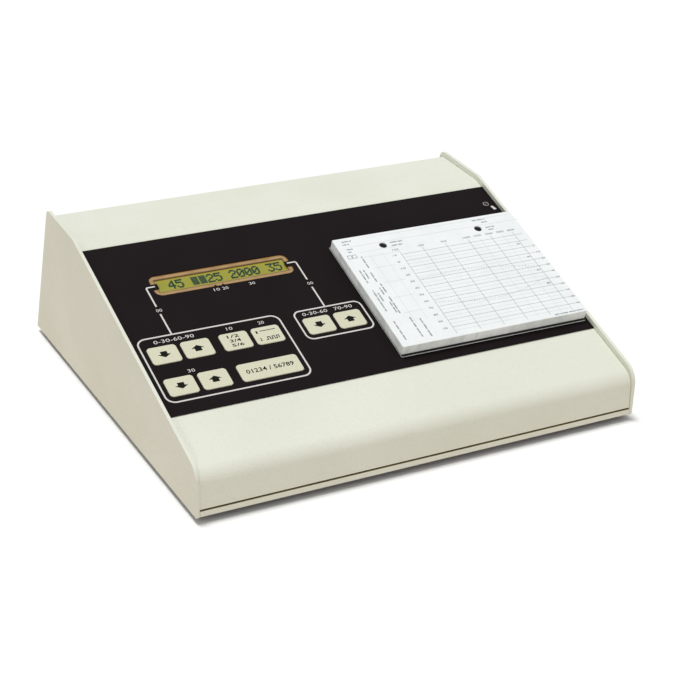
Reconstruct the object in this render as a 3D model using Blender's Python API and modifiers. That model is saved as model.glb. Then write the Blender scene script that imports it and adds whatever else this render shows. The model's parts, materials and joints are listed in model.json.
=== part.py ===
# Desktop audiometer: a wedge-shaped sheet-metal console between two end cheeks. The sloping top
# carries a printed overlay with nine sprung keys, a one-line display and a power indicator. A pad of
# hearing charts lies on two pegs at the right. Sockets and the mains switch are on the rear panel.
#
# Three frames are used, each held by an empty, so that every piece is placed in plain numbers:
#   case_frame   x right, y back from the front edge, z up from the underside of the case
#   slope_frame  x right, y up the slope from the nose, z out of the slope, zero at the cheek's edge
#   rear_frame   x left, y up the rear face from its bottom edge, z out of the face
# All lengths are in metres.

from math import asin, atan2, cos, pi, radians, sin, tan

import bmesh
import bpy
from mathutils import Matrix, Vector

# Case
overall_width = 0.330
slope_angle = radians(18.4)
deck_angle = radians(2.9)
nose_height = 0.033
slope_length = 0.2256
deck_length = 0.0544
foot_height = 0.004
fit_gap = 0.0003
overrun = 0.006

# Cheeks
cheek_thickness = 0.0023
cheek_nose_radius = 0.014
cheek_crease_radius = 0.020
cheek_rear_radius = 0.006
cheek_base_radius = 0.0008
cheek_edge_radius = 0.0004
stud_diameter = 0.004
stud_length = 0.0072
stud_clearance = 0.0003
nut_across_flats = 0.007
nut_height = 0.0032
cheek_stud_front_y = 0.050
cheek_stud_rear_y = 0.238
cheek_stud_height = 0.0078
cover_stud_up_slope = 0.142
cover_stud_depth = 0.0065

# Folded sheets
sheet = 0.0015
cover_sink = 0.0037
cover_front_lean = radians(4.0)
cover_seam_inset = 0.0005
cover_nose_radius = 0.012
cover_crease_radius = 0.016
cover_rear_radius = 0.004
cover_flange = 0.010
rear_sink = 0.003
rear_lip_length = 0.014
base_lip_height = 0.0045
base_seam = 0.0011
base_bend_radius = 0.0014
base_rear_upstand = 0.015
base_side_height = 0.0125
base_side_start = 0.018
base_side_rear_gap = 0.020
least_radius = 0.0004
weld_distance = 0.000001

# Feet
foot_diameter = 0.016
foot_base_diameter = 0.014
foot_stem_diameter = 0.004
foot_stem_grip = 0.0022
foot_inset_x = 0.026
foot_inset_y = 0.030

# Overlay
overlay_thickness = 0.0004
overlay_start = 0.0507
overlay_length = 0.1650
overlay_left_margin = 0.0014
overlay_right_margin = 0.0003
overlay_corner = 0.0006

# Keys: margins are from the overlay's left and front edges to the first key
key_width = 0.0205
key_depth = 0.0160
key_corner = 0.0026
key_pitch = 0.0235
key_row_pitch = 0.0298
key_group_gap = 0.0040
key_mask_group_gap = 0.0153
key_left_margin = 0.00695
key_front_margin = 0.0161
key_rise = 0.0005
key_travel = 0.0005
key_clearance = 0.0003
key_flange = 0.0012
key_flange_thickness = 0.0008
key_stem_diameter = 0.006
key_stem_length = 0.0012

# Keypad board behind the keys
board_thickness = 0.0016
board_corner = 0.0015
keypad_board_margin = 0.0055
dome_diameter = 0.010
dome_height = 0.0006
dome_clearance = 0.0002
board_stud_diameter = 0.005
board_stud_pin_diameter = 0.0025
board_stud_pin_length = 0.0035
board_stud_inset = 0.004

# Display: margins are from the overlay's left and rear edges to the slot
display_left_margin = 0.0334
display_rear_margin = 0.0361
display_slot_width = 0.1046
display_slot_height = 0.0204
display_slot_corner = 0.0055
display_frame_margin = 0.0040
display_window_width = 0.0970
display_window_height = 0.0126
display_window_corner = 0.0006
display_frame_depth = 0.0060
display_frame_wall = 0.0016
display_glass_recess = 0.0005
display_glass_thickness = 0.0022
display_glass_margin = 0.0025
display_board_width = 0.1300
display_board_height = 0.0330

# Power indicator: margins are from the overlay's right and rear edges to its centre
led_right_margin = 0.0085
led_rear_margin = 0.0207
led_diameter = 0.0030
led_flange_diameter = 0.0038
led_length = 0.0060
led_ring_diameter = 0.0050
led_ring_rise = 0.0006
led_ring_tube_diameter = 0.0046
led_ring_length = 0.0060

# Chart pad and its pegs: the pad fills the overlay from the last key to the right edge
pad_key_clearance = 0.00765
pad_right_margin = 0.0019
pad_length = 0.1142
pad_thickness = 0.0062
pad_corner = 0.0010
pad_turn = radians(-0.4)
pad_backing_thickness = 0.0008
pad_backing_inset = 0.0004
pad_card_thickness = 0.0006
pad_card_side_overhang = 0.0005
pad_card_end_overhang = 0.0017
pad_hole_diameter = 0.0060
pad_hole_inset = 0.0133
pad_hole_offset = 0.0004
peg_spacing = 0.080
peg_rear_margin = 0.0539
peg_diameter = 0.0052
peg_head_diameter = 0.0090
peg_head_thickness = 0.0012
peg_top_gap = 0.0003
peg_tip_radius = 0.0008

# Rear panel and its screws
rear_panel_side_gap = 0.0003
rear_panel_foot = 0.0044
rear_panel_top_gap = 0.0055
rear_screw_side_margin = 0.055
screw_head_diameter = 0.0056
screw_head_height = 0.0019
screw_shank_diameter = 0.0029
screw_length = 0.0070
screw_hole_clearance = 0.0003

# Mains inlet
socket_row_height = 0.050
inlet_side_margin = 0.047
inlet_flange_width = 0.0305
inlet_flange_height = 0.0235
inlet_flange_thickness = 0.0020
inlet_flange_corner = 0.0015
inlet_body_width = 0.0275
inlet_body_height = 0.0200
inlet_body_depth = 0.0210
inlet_chamfer = 0.0040
inlet_cavity_width = 0.0244
inlet_cavity_height = 0.0165
inlet_cavity_depth = 0.0160
inlet_cavity_chamfer = 0.0036
inlet_pin_spacing = 0.0070
inlet_pin_offset = 0.0020
inlet_pin_thickness = 0.0020
inlet_pin_width = 0.0040
inlet_pin_recess = 0.0030
inlet_tag_length = 0.0070

# Mains switch
switch_inlet_pitch = 0.036
switch_bezel_width = 0.0170
switch_bezel_height = 0.0250
switch_bezel_thickness = 0.0018
switch_bezel_corner = 0.0012
switch_body_width = 0.0150
switch_body_height = 0.0228
switch_body_depth = 0.0160
switch_cavity_depth = 0.0125
rocker_width = 0.0118
rocker_reach = 0.0095
rocker_pivot_depth = 0.0024
rocker_crown = 0.0016
rocker_bottom_drop = 0.0030
rocker_side_gap = 0.0004
rocker_axle_diameter = 0.0020
rocker_axle_stub = 0.0006
rocker_half_throw = radians(8.0)

# Sockets for the earphones and the response button
jack_side_margin = 0.045
jack_spacing = 0.030
jack_bore_diameter = 0.0065
jack_bushing_diameter = 0.0094
jack_bushing_length = 0.0056
jack_body_diameter = 0.0150
jack_body_length = 0.0240
jack_bore_depth = 0.0260
jack_nut_across_flats = 0.0140
jack_nut_height = 0.0024

# Parts on the floor of the case
main_board_side_margin = 0.014
main_board_front = 0.083
main_board_width = 0.190
main_board_length = 0.120
main_board_stand = 0.006
stand_diameter = 0.0065
stand_pin_diameter = 0.0028
stand_pin_length = 0.0036
stand_inset = 0.006
transformer_side_margin = 0.0305
transformer_gap = 0.006
transformer_width = 0.057
transformer_height = 0.048
transformer_stack = 0.022
transformer_leg = 0.0095
transformer_window_height = 0.029
coil_wall = 0.0080
capacitor_diameter = 0.018
capacitor_height = 0.030
capacitor_edge_radius = 0.0015
capacitor_along = 0.062
capacitor_back = 0.030
heat_sink_width = 0.040
heat_sink_depth = 0.014
heat_sink_height = 0.025
heat_sink_fins = 7
heat_sink_fin = 0.0020
heat_sink_base = 0.0030
heat_sink_along = 0.060
heat_sink_back = -0.020

# Flat leads from the boards to the main board
ribbon_width = 0.020
ribbon_thickness = 0.0008
ribbon_keypad_along = 0.016
ribbon_keypad_back = -0.003
ribbon_keypad_board_inset = 0.0081
ribbon_display_along = -0.054
ribbon_display_back = 0.025
ribbon_sag = 0.020

arc_steps = 6
corner_steps = 2
turn_steps = 20
small_turn_steps = 12

parts = bpy.data.collections.new("audiometer")
cutters = bpy.data.collections.new("cutters")


# Plane geometry of the side profile and of flat outlines


def meet(point, direction, other_point, other_direction):
    """Where two lines cross."""
    gap = other_point - point
    across = direction.x * other_direction.y - direction.y * other_direction.x
    return point + direction * ((gap.x * other_direction.y - gap.y * other_direction.x) / across)


def fillet(before, corner, after, radius, steps):
    """The arc that rounds one corner of an outline."""
    back = (before - corner).normalized()
    ahead = (after - corner).normalized()
    half = back.angle(ahead) / 2
    centre = corner + (back + ahead).normalized() * (radius / sin(half))
    first = corner + back * (radius / tan(half)) - centre
    last = corner + ahead * (radius / tan(half)) - centre
    start = atan2(first.y, first.x)
    turn = (atan2(last.y, last.x) - start + pi) % (2 * pi) - pi
    angles = [start + turn * i / steps for i in range(steps + 1)]
    return [centre + Vector((cos(a), sin(a))) * radius for a in angles]


def rounded(corners, radii, steps=arc_steps):
    """A closed outline with each corner rounded. A radius of zero leaves the corner sharp."""
    outline = []
    for i, (corner, radius) in enumerate(zip(corners, radii)):
        if radius > 0:
            after = corners[(i + 1) % len(corners)]
            outline += fillet(corners[i - 1], corner, after, radius, steps)
        else:
            outline.append(corner)
    return outline


def offset_chain(corners, distance):
    """An open chain of corners moved to its right by the distance."""
    runs = [(b - a).normalized() for a, b in zip(corners, corners[1:])]
    sides = [Vector((run.y, -run.x)) * distance for run in runs]
    inner = [
        meet(corners[i] + sides[i - 1], runs[i - 1], corners[i] + sides[i], runs[i])
        for i in range(1, len(runs))
    ]
    return [corners[0] + sides[0]] + inner + [corners[-1] + sides[-1]]


def rectangle(width, height, radius=0, x=0, y=0, steps=corner_steps):
    """A rounded rectangle about a centre."""
    corners = [
        Vector((x - width / 2, y - height / 2)),
        Vector((x + width / 2, y - height / 2)),
        Vector((x + width / 2, y + height / 2)),
        Vector((x - width / 2, y + height / 2)),
    ]
    return rounded(corners, [radius] * len(corners), steps)


def circle(diameter, x=0, y=0, steps=turn_steps):
    turns = [2 * pi * i / steps for i in range(steps)]
    return [Vector((x + cos(a) * diameter / 2, y + sin(a) * diameter / 2)) for a in turns]


def hexagon(across_flats):
    return circle(across_flats / cos(pi / 6), steps=6)


# Side profile in the case frame, as (y, z)

slope_run = Vector((cos(slope_angle), sin(slope_angle)))
slope_out = Vector((-sin(slope_angle), cos(slope_angle)))
deck_run = Vector((cos(deck_angle), sin(deck_angle)))
front_base = Vector((0, 0))
nose = Vector((0, nose_height))
crease = nose + slope_run * slope_length
rear_top = crease + deck_run * deck_length
rear_base = meet(rear_top, slope_out, front_base, Vector((1, 0)))
case_depth = rear_base.x
cheek_corners = [front_base, nose, crease, rear_top, rear_base]
cheek_top_radii = [cheek_nose_radius, cheek_crease_radius, cheek_rear_radius]
cheek_outline = rounded(cheek_corners, [cheek_base_radius, *cheek_top_radii, cheek_base_radius])
cheek_depth = max(point.x for point in cheek_outline)

cover_half_width = overall_width / 2 - cheek_thickness - fit_gap
seam_height = base_lip_height + base_seam
cover_front_run = Vector((sin(cover_front_lean), cos(cover_front_lean)))
cover_seam = Vector((cover_seam_inset, seam_height))
deck_out = Vector((-deck_run.y, deck_run.x))
cover_slope_point = nose - slope_out * cover_sink
cover_deck_point = crease - deck_out * cover_sink
cover_rear_point = rear_base - slope_run * rear_sink
cover_nose = meet(cover_seam, cover_front_run, cover_slope_point, slope_run)
cover_crease = meet(cover_slope_point, slope_run, cover_deck_point, deck_run)
cover_rear_top = meet(cover_deck_point, deck_run, cover_rear_point, slope_out)
cover_lip_end = cover_rear_top - slope_out * rear_lip_length
cover_chain = [cover_seam, cover_nose, cover_crease, cover_rear_top, cover_lip_end]
cover_radii = [0, cover_nose_radius, cover_crease_radius, cover_rear_radius, 0]

base_rear_corner = meet(cover_rear_point, slope_out, front_base, Vector((1, 0)))
base_rear_end = base_rear_corner + slope_out * base_rear_upstand
base_chain = [base_rear_end, base_rear_corner, front_base, Vector((0, base_lip_height))]
base_radii = [0, base_bend_radius, base_bend_radius, 0]

# Levels in the slope frame, measured out of the slope from the cheek's edge

cover_outside = -cover_sink
cover_inside = cover_outside - sheet
overlay_under = cover_outside + fit_gap
overlay_top = overlay_under + overlay_thickness
key_top = overlay_top + key_rise
key_flange_top = cover_inside - fit_gap
key_flange_under = key_flange_top - key_flange_thickness
key_bottom = key_flange_under - key_stem_length
dome_top = key_bottom - key_travel - dome_clearance
keypad_board_top = dome_top - dome_height
keypad_board_under = keypad_board_top - board_thickness
display_frame_top = overlay_under - fit_gap
display_frame_under = display_frame_top - display_frame_depth
display_glass_top = display_frame_top - display_glass_recess - fit_gap
display_board_top = display_frame_under - fit_gap
display_board_under = display_board_top - board_thickness
pad_card_under = overlay_top + fit_gap
pad_backing_under = pad_card_under + pad_card_thickness + fit_gap
pad_under = pad_backing_under + pad_backing_thickness + fit_gap
pad_top = pad_under + pad_thickness

# Levels in the rear frame, measured out of the face

rear_lip_outside = -rear_sink
rear_lip_inside = rear_lip_outside - sheet
rear_panel_outside = rear_lip_inside - fit_gap
rear_panel_inside = rear_panel_outside - sheet
cover_top_up_rear = (cover_rear_top - rear_base).dot(slope_out)
rear_panel_top = cover_top_up_rear - rear_panel_top_gap
upper_screw_height = cover_top_up_rear - rear_lip_length * 2 / 3
lower_screw_height = base_rear_upstand * 3 / 5

# Levels in the case frame

floor_top = sheet
main_board_under = floor_top + main_board_stand + fit_gap
main_board_top = main_board_under + board_thickness

# Places on the overlay

overlay_left = cheek_thickness + overlay_left_margin - overall_width / 2
overlay_right = overall_width / 2 - cheek_thickness - overlay_right_margin
overlay_width = overlay_right - overlay_left
overlay_centre_x = (overlay_left + overlay_right) / 2
overlay_rear = overlay_start + overlay_length
display_centre_x = overlay_left + display_left_margin + display_slot_width / 2
display_centre_up = overlay_rear - display_rear_margin - display_slot_height / 2
led_x = overlay_right - led_right_margin
led_up_slope = overlay_rear - led_rear_margin
key_first_column = overlay_left + key_left_margin + key_width / 2
key_lower_row = overlay_start + key_front_margin + key_depth / 2
key_upper_row = key_lower_row + key_row_pitch
key_columns = [
    key_first_column,
    key_first_column + key_pitch,
    key_first_column + 2 * key_pitch + key_group_gap,
    key_first_column + 3 * key_pitch + key_group_gap,
]
key_mask_column = key_columns[3] + key_pitch + key_mask_group_gap
peg_up_slope = overlay_rear - peg_rear_margin
pad_left = key_mask_column + key_pitch + key_width / 2 + pad_key_clearance
pad_right = overlay_right - pad_right_margin
pad_width = pad_right - pad_left
pad_centre_x = (pad_left + pad_right) / 2
pad_centre_up = peg_up_slope + pad_hole_inset - pad_length / 2
peg_centre_x = pad_centre_x + pad_hole_offset
peg_columns = [peg_centre_x - peg_spacing / 2, peg_centre_x + peg_spacing / 2]
wide_key_width = key_pitch + key_width
wide_key_column = (key_columns[2] + key_columns[3]) / 2
keys = [
    ("key_tone_down", key_columns[0], key_upper_row, key_width),
    ("key_tone_up", key_columns[1], key_upper_row, key_width),
    ("key_ear", key_columns[2], key_upper_row, key_width),
    ("key_pulse", key_columns[3], key_upper_row, key_width),
    ("key_pitch_down", key_columns[0], key_lower_row, key_width),
    ("key_pitch_up", key_columns[1], key_lower_row, key_width),
    ("key_present", wide_key_column, key_lower_row, wide_key_width),
    ("key_mask_down", key_mask_column, key_upper_row, key_width),
    ("key_mask_up", key_mask_column + key_pitch, key_upper_row, key_width),
]

# Places on the rear panel and on the floor of the case

rear_screw_x = overall_width / 2 - rear_screw_side_margin
inlet_x = overall_width / 2 - inlet_side_margin
switch_x = inlet_x - switch_inlet_pitch
jack_first_x = jack_side_margin - overall_width / 2
main_board_x = main_board_side_margin + main_board_width / 2 - overall_width / 2
main_board_y = main_board_front + main_board_length / 2
coil_length = transformer_stack + 2 * (fit_gap + coil_wall)
transformer_x = overall_width / 2 - transformer_side_margin - transformer_width / 2
transformer_y = main_board_front + main_board_length + transformer_gap + coil_length / 2


# Scene, materials and building blocks


def clear_scene():
    for obj in list(bpy.data.objects):
        bpy.data.objects.remove(obj)
    for collection in (parts, cutters):
        bpy.context.scene.collection.children.link(collection)


def finish(name, colour, roughness, metallic=0.0):
    made = bpy.data.materials.new(name)
    made.use_nodes = True
    shader = made.node_tree.nodes["Principled BSDF"]
    shader.inputs["Base Color"].default_value = (*colour, 1.0)
    shader.inputs["Roughness"].default_value = roughness
    shader.inputs["Metallic"].default_value = metallic
    return made


def frame(name, parent, location, rotation):
    """An empty that carries pieces placed in its own directions."""
    empty = bpy.data.objects.new(name, None)
    empty.parent = parent
    empty.matrix_local = Matrix.Translation(location) @ rotation.to_4x4()
    parts.objects.link(empty)
    return empty


def place(obj, parent, x=0, y=0, z=0):
    obj.parent = parent
    obj.location = (x, y, z)
    return obj


def hide(obj):
    """Turns an object into a cutter or another helper shape."""
    obj.hide_render = True
    obj.display_type = "WIRE"
    parts.objects.unlink(obj)
    cutters.objects.link(obj)
    return obj


def plate(name, outlines, bottom, top, material=None):
    """A flat outline between two levels. Outlines inside the first one are holes."""
    curve = bpy.data.curves.new(name, "CURVE")
    curve.dimensions = "2D"
    curve.fill_mode = "BOTH"
    curve.extrude = (top - bottom) / 2
    for outline in outlines:
        spline = curve.splines.new("POLY")
        spline.points.add(len(outline) - 1)
        for point, corner in zip(spline.points, outline):
            point.co = (corner.x, corner.y, 0, 1)
        spline.use_cyclic_u = True
    drawn = bpy.data.objects.new(name, curve)
    bpy.context.scene.collection.objects.link(drawn)
    graph = bpy.context.evaluated_depsgraph_get()
    mesh = bpy.data.meshes.new_from_object(drawn.evaluated_get(graph))
    bpy.data.objects.remove(drawn)
    shape = bmesh.new()
    shape.from_mesh(mesh)
    bmesh.ops.remove_doubles(shape, verts=shape.verts, dist=weld_distance)
    bmesh.ops.translate(shape, verts=shape.verts, vec=(0, 0, (top + bottom) / 2))
    shape.to_mesh(mesh)
    shape.free()
    mesh.name = name
    mesh.shade_smooth()
    mesh.set_sharp_from_angle(angle=radians(35))
    if material:
        mesh.materials.clear()
        mesh.materials.append(material)
    obj = bpy.data.objects.new(name, mesh)
    parts.objects.link(obj)
    return obj


def upright(obj):
    """Stands a plate drawn as a side profile on edge, so that its thickness runs along x."""
    axes = Matrix(((0, 0, 1), (1, 0, 0), (0, 1, 0)))
    obj.data.transform(axes.to_4x4())
    return obj


def turned(name, profile, material=None, steps=turn_steps):
    """A profile in x and z, listed down its outer side, turned about z."""
    mesh = bpy.data.meshes.new(name)
    edges = [(i, i + 1) for i in range(len(profile) - 1)]
    mesh.from_pydata([(r, 0, z) for r, z in profile], edges, [])
    if material:
        mesh.materials.append(material)
    obj = bpy.data.objects.new(name, mesh)
    parts.objects.link(obj)
    lathe = obj.modifiers.new("Lathe", "SCREW")
    lathe.steps = steps
    lathe.render_steps = steps
    lathe.use_merge_vertices = True
    lathe.merge_threshold = weld_distance
    lathe.use_smooth_shade = True
    return obj


def rod(name, diameter, bottom, top, steps=turn_steps):
    """A plain cylinder along z."""
    return plate(name, [circle(diameter, steps=steps)], bottom, top)


def bevel(obj, radius, segments=1):
    made = obj.modifiers.new("Edges", "BEVEL")
    made.width = radius
    made.segments = segments
    made.limit_method = "ANGLE"
    made.angle_limit = radians(40)


def boolean(obj, other, operation):
    made = obj.modifiers.new(other.name, "BOOLEAN")
    made.operation = operation
    made.solver = "EXACT"
    made.object = hide(other)


def cut(obj, *others):
    for other in others:
        boolean(obj, other, "DIFFERENCE")


def join(obj, *others):
    for other in others:
        boolean(obj, other, "UNION")


# Case


def case_point(up_slope, level):
    """(y, z) in the case frame of a place on the slope."""
    return nose + slope_run * up_slope + slope_out * level


def profile_shape(name, corners, radii, half_width, material=None):
    return upright(plate(name, [rounded(corners, radii)], -half_width, half_width, material))


def tightened(radii, distance):
    """Radii on the inner side of a fold. A fold too tight for one is left sharp."""
    inner = [radius - distance for radius in radii]
    return [radius if radius > least_radius else 0 for radius in inner]


def lengthened(chain):
    """The chain with its two ends carried on past the sheet, for a cutter."""
    first = chain[0] + (chain[0] - chain[1]).normalized() * overrun
    last = chain[-1] + (chain[-1] - chain[-2]).normalized() * overrun
    return [first] + chain[1:-1] + [last]


def cheek_stud_places():
    """(y, z) of the three studs on each cheek: two for the base and one for the cover."""
    cover_stud = case_point(cover_stud_up_slope, cover_outside - cover_stud_depth)
    return [
        ("front", Vector((cheek_stud_front_y, cheek_stud_height))),
        ("rear", Vector((cheek_stud_rear_y, cheek_stud_height))),
        ("cover", cover_stud),
    ]


def side_rods(name, diameter, inner, outer):
    """Rods along x at every cheek stud, between two distances from the middle, as one helper."""
    rounds = [circle(diameter, spot.x, spot.y) for _, spot in cheek_stud_places()]
    return upright(plate(name, rounds, inner, outer))


def make_cheek(side, name, case, paint):
    outside = overall_width / 2
    low, high = sorted((side * outside, side * (outside - cheek_thickness)))
    cheek = upright(plate(name, [cheek_outline], low, high, paint))
    bevel(cheek, cheek_edge_radius)
    stud_end = outside - cheek_thickness - stud_length
    low, high = sorted((side * stud_end, side * (outside - cheek_thickness / 2)))
    join(cheek, place(side_rods(name + "_studs", stud_diameter, low, high), case))
    return place(cheek, case)


def make_nut(name, case, side, spot, metal):
    hole = stud_diameter + 2 * stud_clearance
    nut = plate(name, [hexagon(nut_across_flats), circle(hole)], 0, nut_height, metal)
    upright(nut)
    seat = cover_half_width - sheet - fit_gap
    left = seat - nut_height if side > 0 else -seat
    return place(nut, case, left, spot.x, spot.y)


def key_hole(x, y, width):
    grown = 2 * key_clearance
    return rectangle(width + grown, key_depth + grown, key_corner + key_clearance, x, y)


def slope_openings():
    """Outlines through the cover, in the slope frame."""
    outlines = [key_hole(x, y, width) for _, x, y, width in keys]
    frame_width = display_slot_width + 2 * display_frame_margin + 2 * fit_gap
    frame_height = display_slot_height + 2 * display_frame_margin + 2 * fit_gap
    outlines.append(
        rectangle(frame_width, frame_height, board_corner, display_centre_x, display_centre_up)
    )
    outlines.append(circle(led_ring_tube_diameter + 2 * fit_gap, led_x, led_up_slope))
    outlines += [circle(peg_diameter + 2 * fit_gap, x, peg_up_slope) for x in peg_columns]
    return outlines


def keypad_board_box():
    """Left, right, lower and upper edges of the keypad board on the slope."""
    left = keys[0][1] - key_width / 2 - keypad_board_margin
    right = keys[-1][1] + key_width / 2 + keypad_board_margin
    return (
        left,
        right,
        key_lower_row - key_depth / 2 - keypad_board_margin,
        key_upper_row + key_depth / 2 + keypad_board_margin,
    )


def keypad_stud_places():
    """Three along the strip between the two rows of keys, and one in the free corner."""
    left, right, low, _ = keypad_board_box()
    between_rows = (key_upper_row + key_lower_row) / 2
    between_groups = (key_columns[1] + key_columns[2]) / 2
    right_column = right - board_stud_inset
    places = [(x, between_rows) for x in (left + board_stud_inset, between_groups, right_column)]
    return places + [(right_column, low + board_stud_inset)]


def display_stud_places():
    across = display_board_width / 2 - board_stud_inset
    along = display_board_height / 2 - board_stud_inset
    return [
        (display_centre_x + x, display_centre_up + y) for x in (-across, across) for y in (-along, along)
    ]


def cover_studs(slope, name, places, board_top):
    """Shoulders that a board hangs from, and the thinner pins that pass through it."""
    shoulders = plate(
        name + "_shoulders",
        [circle(board_stud_diameter, x, y, small_turn_steps) for x, y in places],
        board_top + fit_gap,
        cover_inside + sheet / 2,
    )
    pins = plate(
        name + "_pins",
        [circle(board_stud_pin_diameter, x, y, small_turn_steps) for x, y in places],
        board_top - board_stud_pin_length,
        board_top + 2 * fit_gap,
    )
    return place(shoulders, slope), place(pins, slope)


def rear_screw_cutter(rear, name, height):
    hole = screw_shank_diameter + 2 * screw_hole_clearance
    rounds = [circle(hole, x, height) for x in (-rear_screw_x, rear_screw_x)]
    return place(plate(name, rounds, rear_panel_inside - overrun, overrun), rear)


def make_cover(case, slope, rear, paint):
    cover = profile_shape("top_cover", cover_chain, cover_radii, cover_half_width, paint)
    place(cover, case)
    hollow = lengthened(offset_chain(cover_chain, sheet))
    room = lengthened(offset_chain(cover_chain, cover_flange))
    cut(
        cover,
        place(
            profile_shape(
                "cover_hollow", hollow, tightened(cover_radii, sheet), cover_half_width - sheet
            ),
            case,
        ),
        place(
            profile_shape(
                "cover_room", room, tightened(cover_radii, cover_flange), cover_half_width + overrun
            ),
            case,
        ),
        place(plate("cover_openings", slope_openings(), cover_inside - overrun, overrun), slope),
        rear_screw_cutter(rear, "cover_screw_holes", upper_screw_height),
    )
    hole = stud_diameter + 2 * stud_clearance
    cut(cover, place(side_rods("cover_stud_holes", hole, -overall_width, overall_width), case))
    join(cover, *cover_studs(slope, "keypad", keypad_stud_places(), keypad_board_top))
    join(cover, *cover_studs(slope, "display", display_stud_places(), display_board_top))
    return cover


def base_outline():
    """The tray's side view: a low front lip, side walls that rise behind it, and the rear upstand."""
    side_rear = base_rear_corner.x - base_side_rear_gap
    return [
        Vector((0, base_lip_height)),
        Vector((base_side_start, base_lip_height)),
        Vector((base_side_start + base_side_height, base_side_height)),
        Vector((side_rear, base_side_height)),
        base_rear_end,
        base_rear_corner,
        front_base,
    ]


def foot_places():
    across = overall_width / 2 - foot_inset_x
    return [(x, y) for x in (-across, across) for y in (foot_inset_y, case_depth - foot_inset_y)]


def stand_places():
    across = main_board_width / 2 - stand_inset
    along = main_board_length / 2 - stand_inset
    return [(main_board_x + x, main_board_y + y) for x in (-across, across) for y in (-along, along)]


def make_base(case, rear, paint):
    radii = [0, 0, 0, 0, 0, base_bend_radius, base_bend_radius]
    tray = profile_shape("base_tray", base_outline(), radii, cover_half_width, paint)
    place(tray, case)
    open_chain = [*base_chain[:-1], Vector((0, base_side_height))]
    hollow = lengthened(offset_chain(open_chain, sheet))
    cut(
        tray,
        place(
            profile_shape("base_hollow", hollow, tightened(base_radii, sheet), cover_half_width - sheet),
            case,
        ),
        rear_screw_cutter(rear, "base_screw_holes", lower_screw_height),
    )
    hole = stud_diameter + 2 * stud_clearance
    stem_hole = foot_stem_diameter + 2 * fit_gap
    stems = [circle(stem_hole, x, y) for x, y in foot_places()]
    cut(
        tray,
        place(side_rods("base_stud_holes", hole, -overall_width, overall_width), case),
        place(plate("foot_holes", stems, -overrun, overrun), case),
    )
    stands = [circle(stand_diameter, x, y, small_turn_steps) for x, y in stand_places()]
    pins = [circle(stand_pin_diameter, x, y, small_turn_steps) for x, y in stand_places()]
    stand_top = floor_top + main_board_stand
    join(
        tray,
        place(plate("stands", stands, floor_top - sheet / 2, stand_top), case),
        place(plate("stand_pins", pins, stand_top - fit_gap, stand_top + stand_pin_length), case),
    )
    return tray


def make_foot(name, case, x, y, rubber):
    top = sheet + fit_gap + foot_stem_grip
    profile = [
        (0, top),
        (foot_stem_diameter / 2, top),
        (foot_stem_diameter / 2, -fit_gap),
        (foot_diameter / 2, -fit_gap),
        (foot_base_diameter / 2, -foot_height),
        (0, -foot_height),
    ]
    return place(turned(name, profile, rubber), case, x, y)


def make_rear_panel(case, rear, paint):
    width = 2 * (cover_half_width - sheet - rear_panel_side_gap)
    height = rear_panel_top - rear_panel_foot
    middle = (rear_panel_top + rear_panel_foot) / 2
    hole = screw_shank_diameter + 2 * screw_hole_clearance
    jack_hole = jack_bushing_diameter + 2 * fit_gap
    outlines = [
        rectangle(width, height, sheet, 0, middle),
        inlet_shape(inlet_body_width, inlet_body_height, inlet_chamfer, fit_gap, -inlet_x),
        rectangle(
            switch_body_width + 2 * fit_gap,
            switch_body_height + 2 * fit_gap,
            0,
            -switch_x,
            socket_row_height,
        ),
    ]
    outlines += [circle(jack_hole, -x, socket_row_height) for _, x in jacks()]
    for screw_height in (upper_screw_height, lower_screw_height):
        outlines += [circle(hole, x, screw_height) for x in (-rear_screw_x, rear_screw_x)]
    panel = plate("rear_panel", outlines, rear_panel_inside, rear_panel_outside, paint)
    return place(panel, rear)


def make_screw(name, rear, x, height, metal):
    """A pan-head screw, its head just clear of the lip that it clamps."""
    seat = rear_lip_outside + fit_gap
    crown = seat + screw_head_height
    profile = [
        (0, crown),
        (screw_head_diameter / 3, crown - screw_head_height / 10),
        (screw_head_diameter / 2, crown - screw_head_height / 2),
        (screw_head_diameter / 2, seat),
        (screw_shank_diameter / 2, seat),
        (screw_shank_diameter / 2, seat - screw_length),
        (0, seat - screw_length),
    ]
    return place(turned(name, profile, metal, small_turn_steps), rear, x, height)


# Control panel


def make_overlay(slope, film):
    outlines = [
        rectangle(
            overlay_width,
            overlay_length,
            overlay_corner,
            overlay_centre_x,
            overlay_start + overlay_length / 2,
        ),
        rectangle(
            display_slot_width,
            display_slot_height,
            display_slot_corner,
            display_centre_x,
            display_centre_up,
            arc_steps,
        ),
        circle(led_ring_tube_diameter + 2 * fit_gap, led_x, led_up_slope),
    ]
    outlines += [key_hole(x, y, width) for _, x, y, width in keys]
    outlines += [circle(peg_diameter + 2 * fit_gap, x, peg_up_slope) for x in peg_columns]
    return place(plate("keypad_overlay", outlines, overlay_under, overlay_top, film), slope)


def make_key(name, slope, x, y, width, plastic):
    """A cap that fills its hole, a flange that keeps it from lifting out, and a stem above the dome."""
    cap = plate(name, [rectangle(width, key_depth, key_corner)], key_flange_top, key_top, plastic)
    wide = width + 2 * key_flange
    deep = key_depth + 2 * key_flange
    flange = plate(
        name + "_flange", [rectangle(wide, deep, key_corner)], key_flange_under, key_flange_top
    )
    flange.data.transform(Matrix.Translation((0, 0, -fit_gap)))
    neck = plate(
        name + "_neck",
        [rectangle(width - key_flange, key_depth - key_flange, key_corner)],
        key_flange_under,
        key_flange_top + fit_gap,
    )
    stem = rod(name + "_stem", key_stem_diameter, key_bottom, key_flange_under + fit_gap)
    join(cap, place(neck, slope, x, y), place(flange, slope, x, y), place(stem, slope, x, y))
    return place(cap, slope, x, y)


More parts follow.
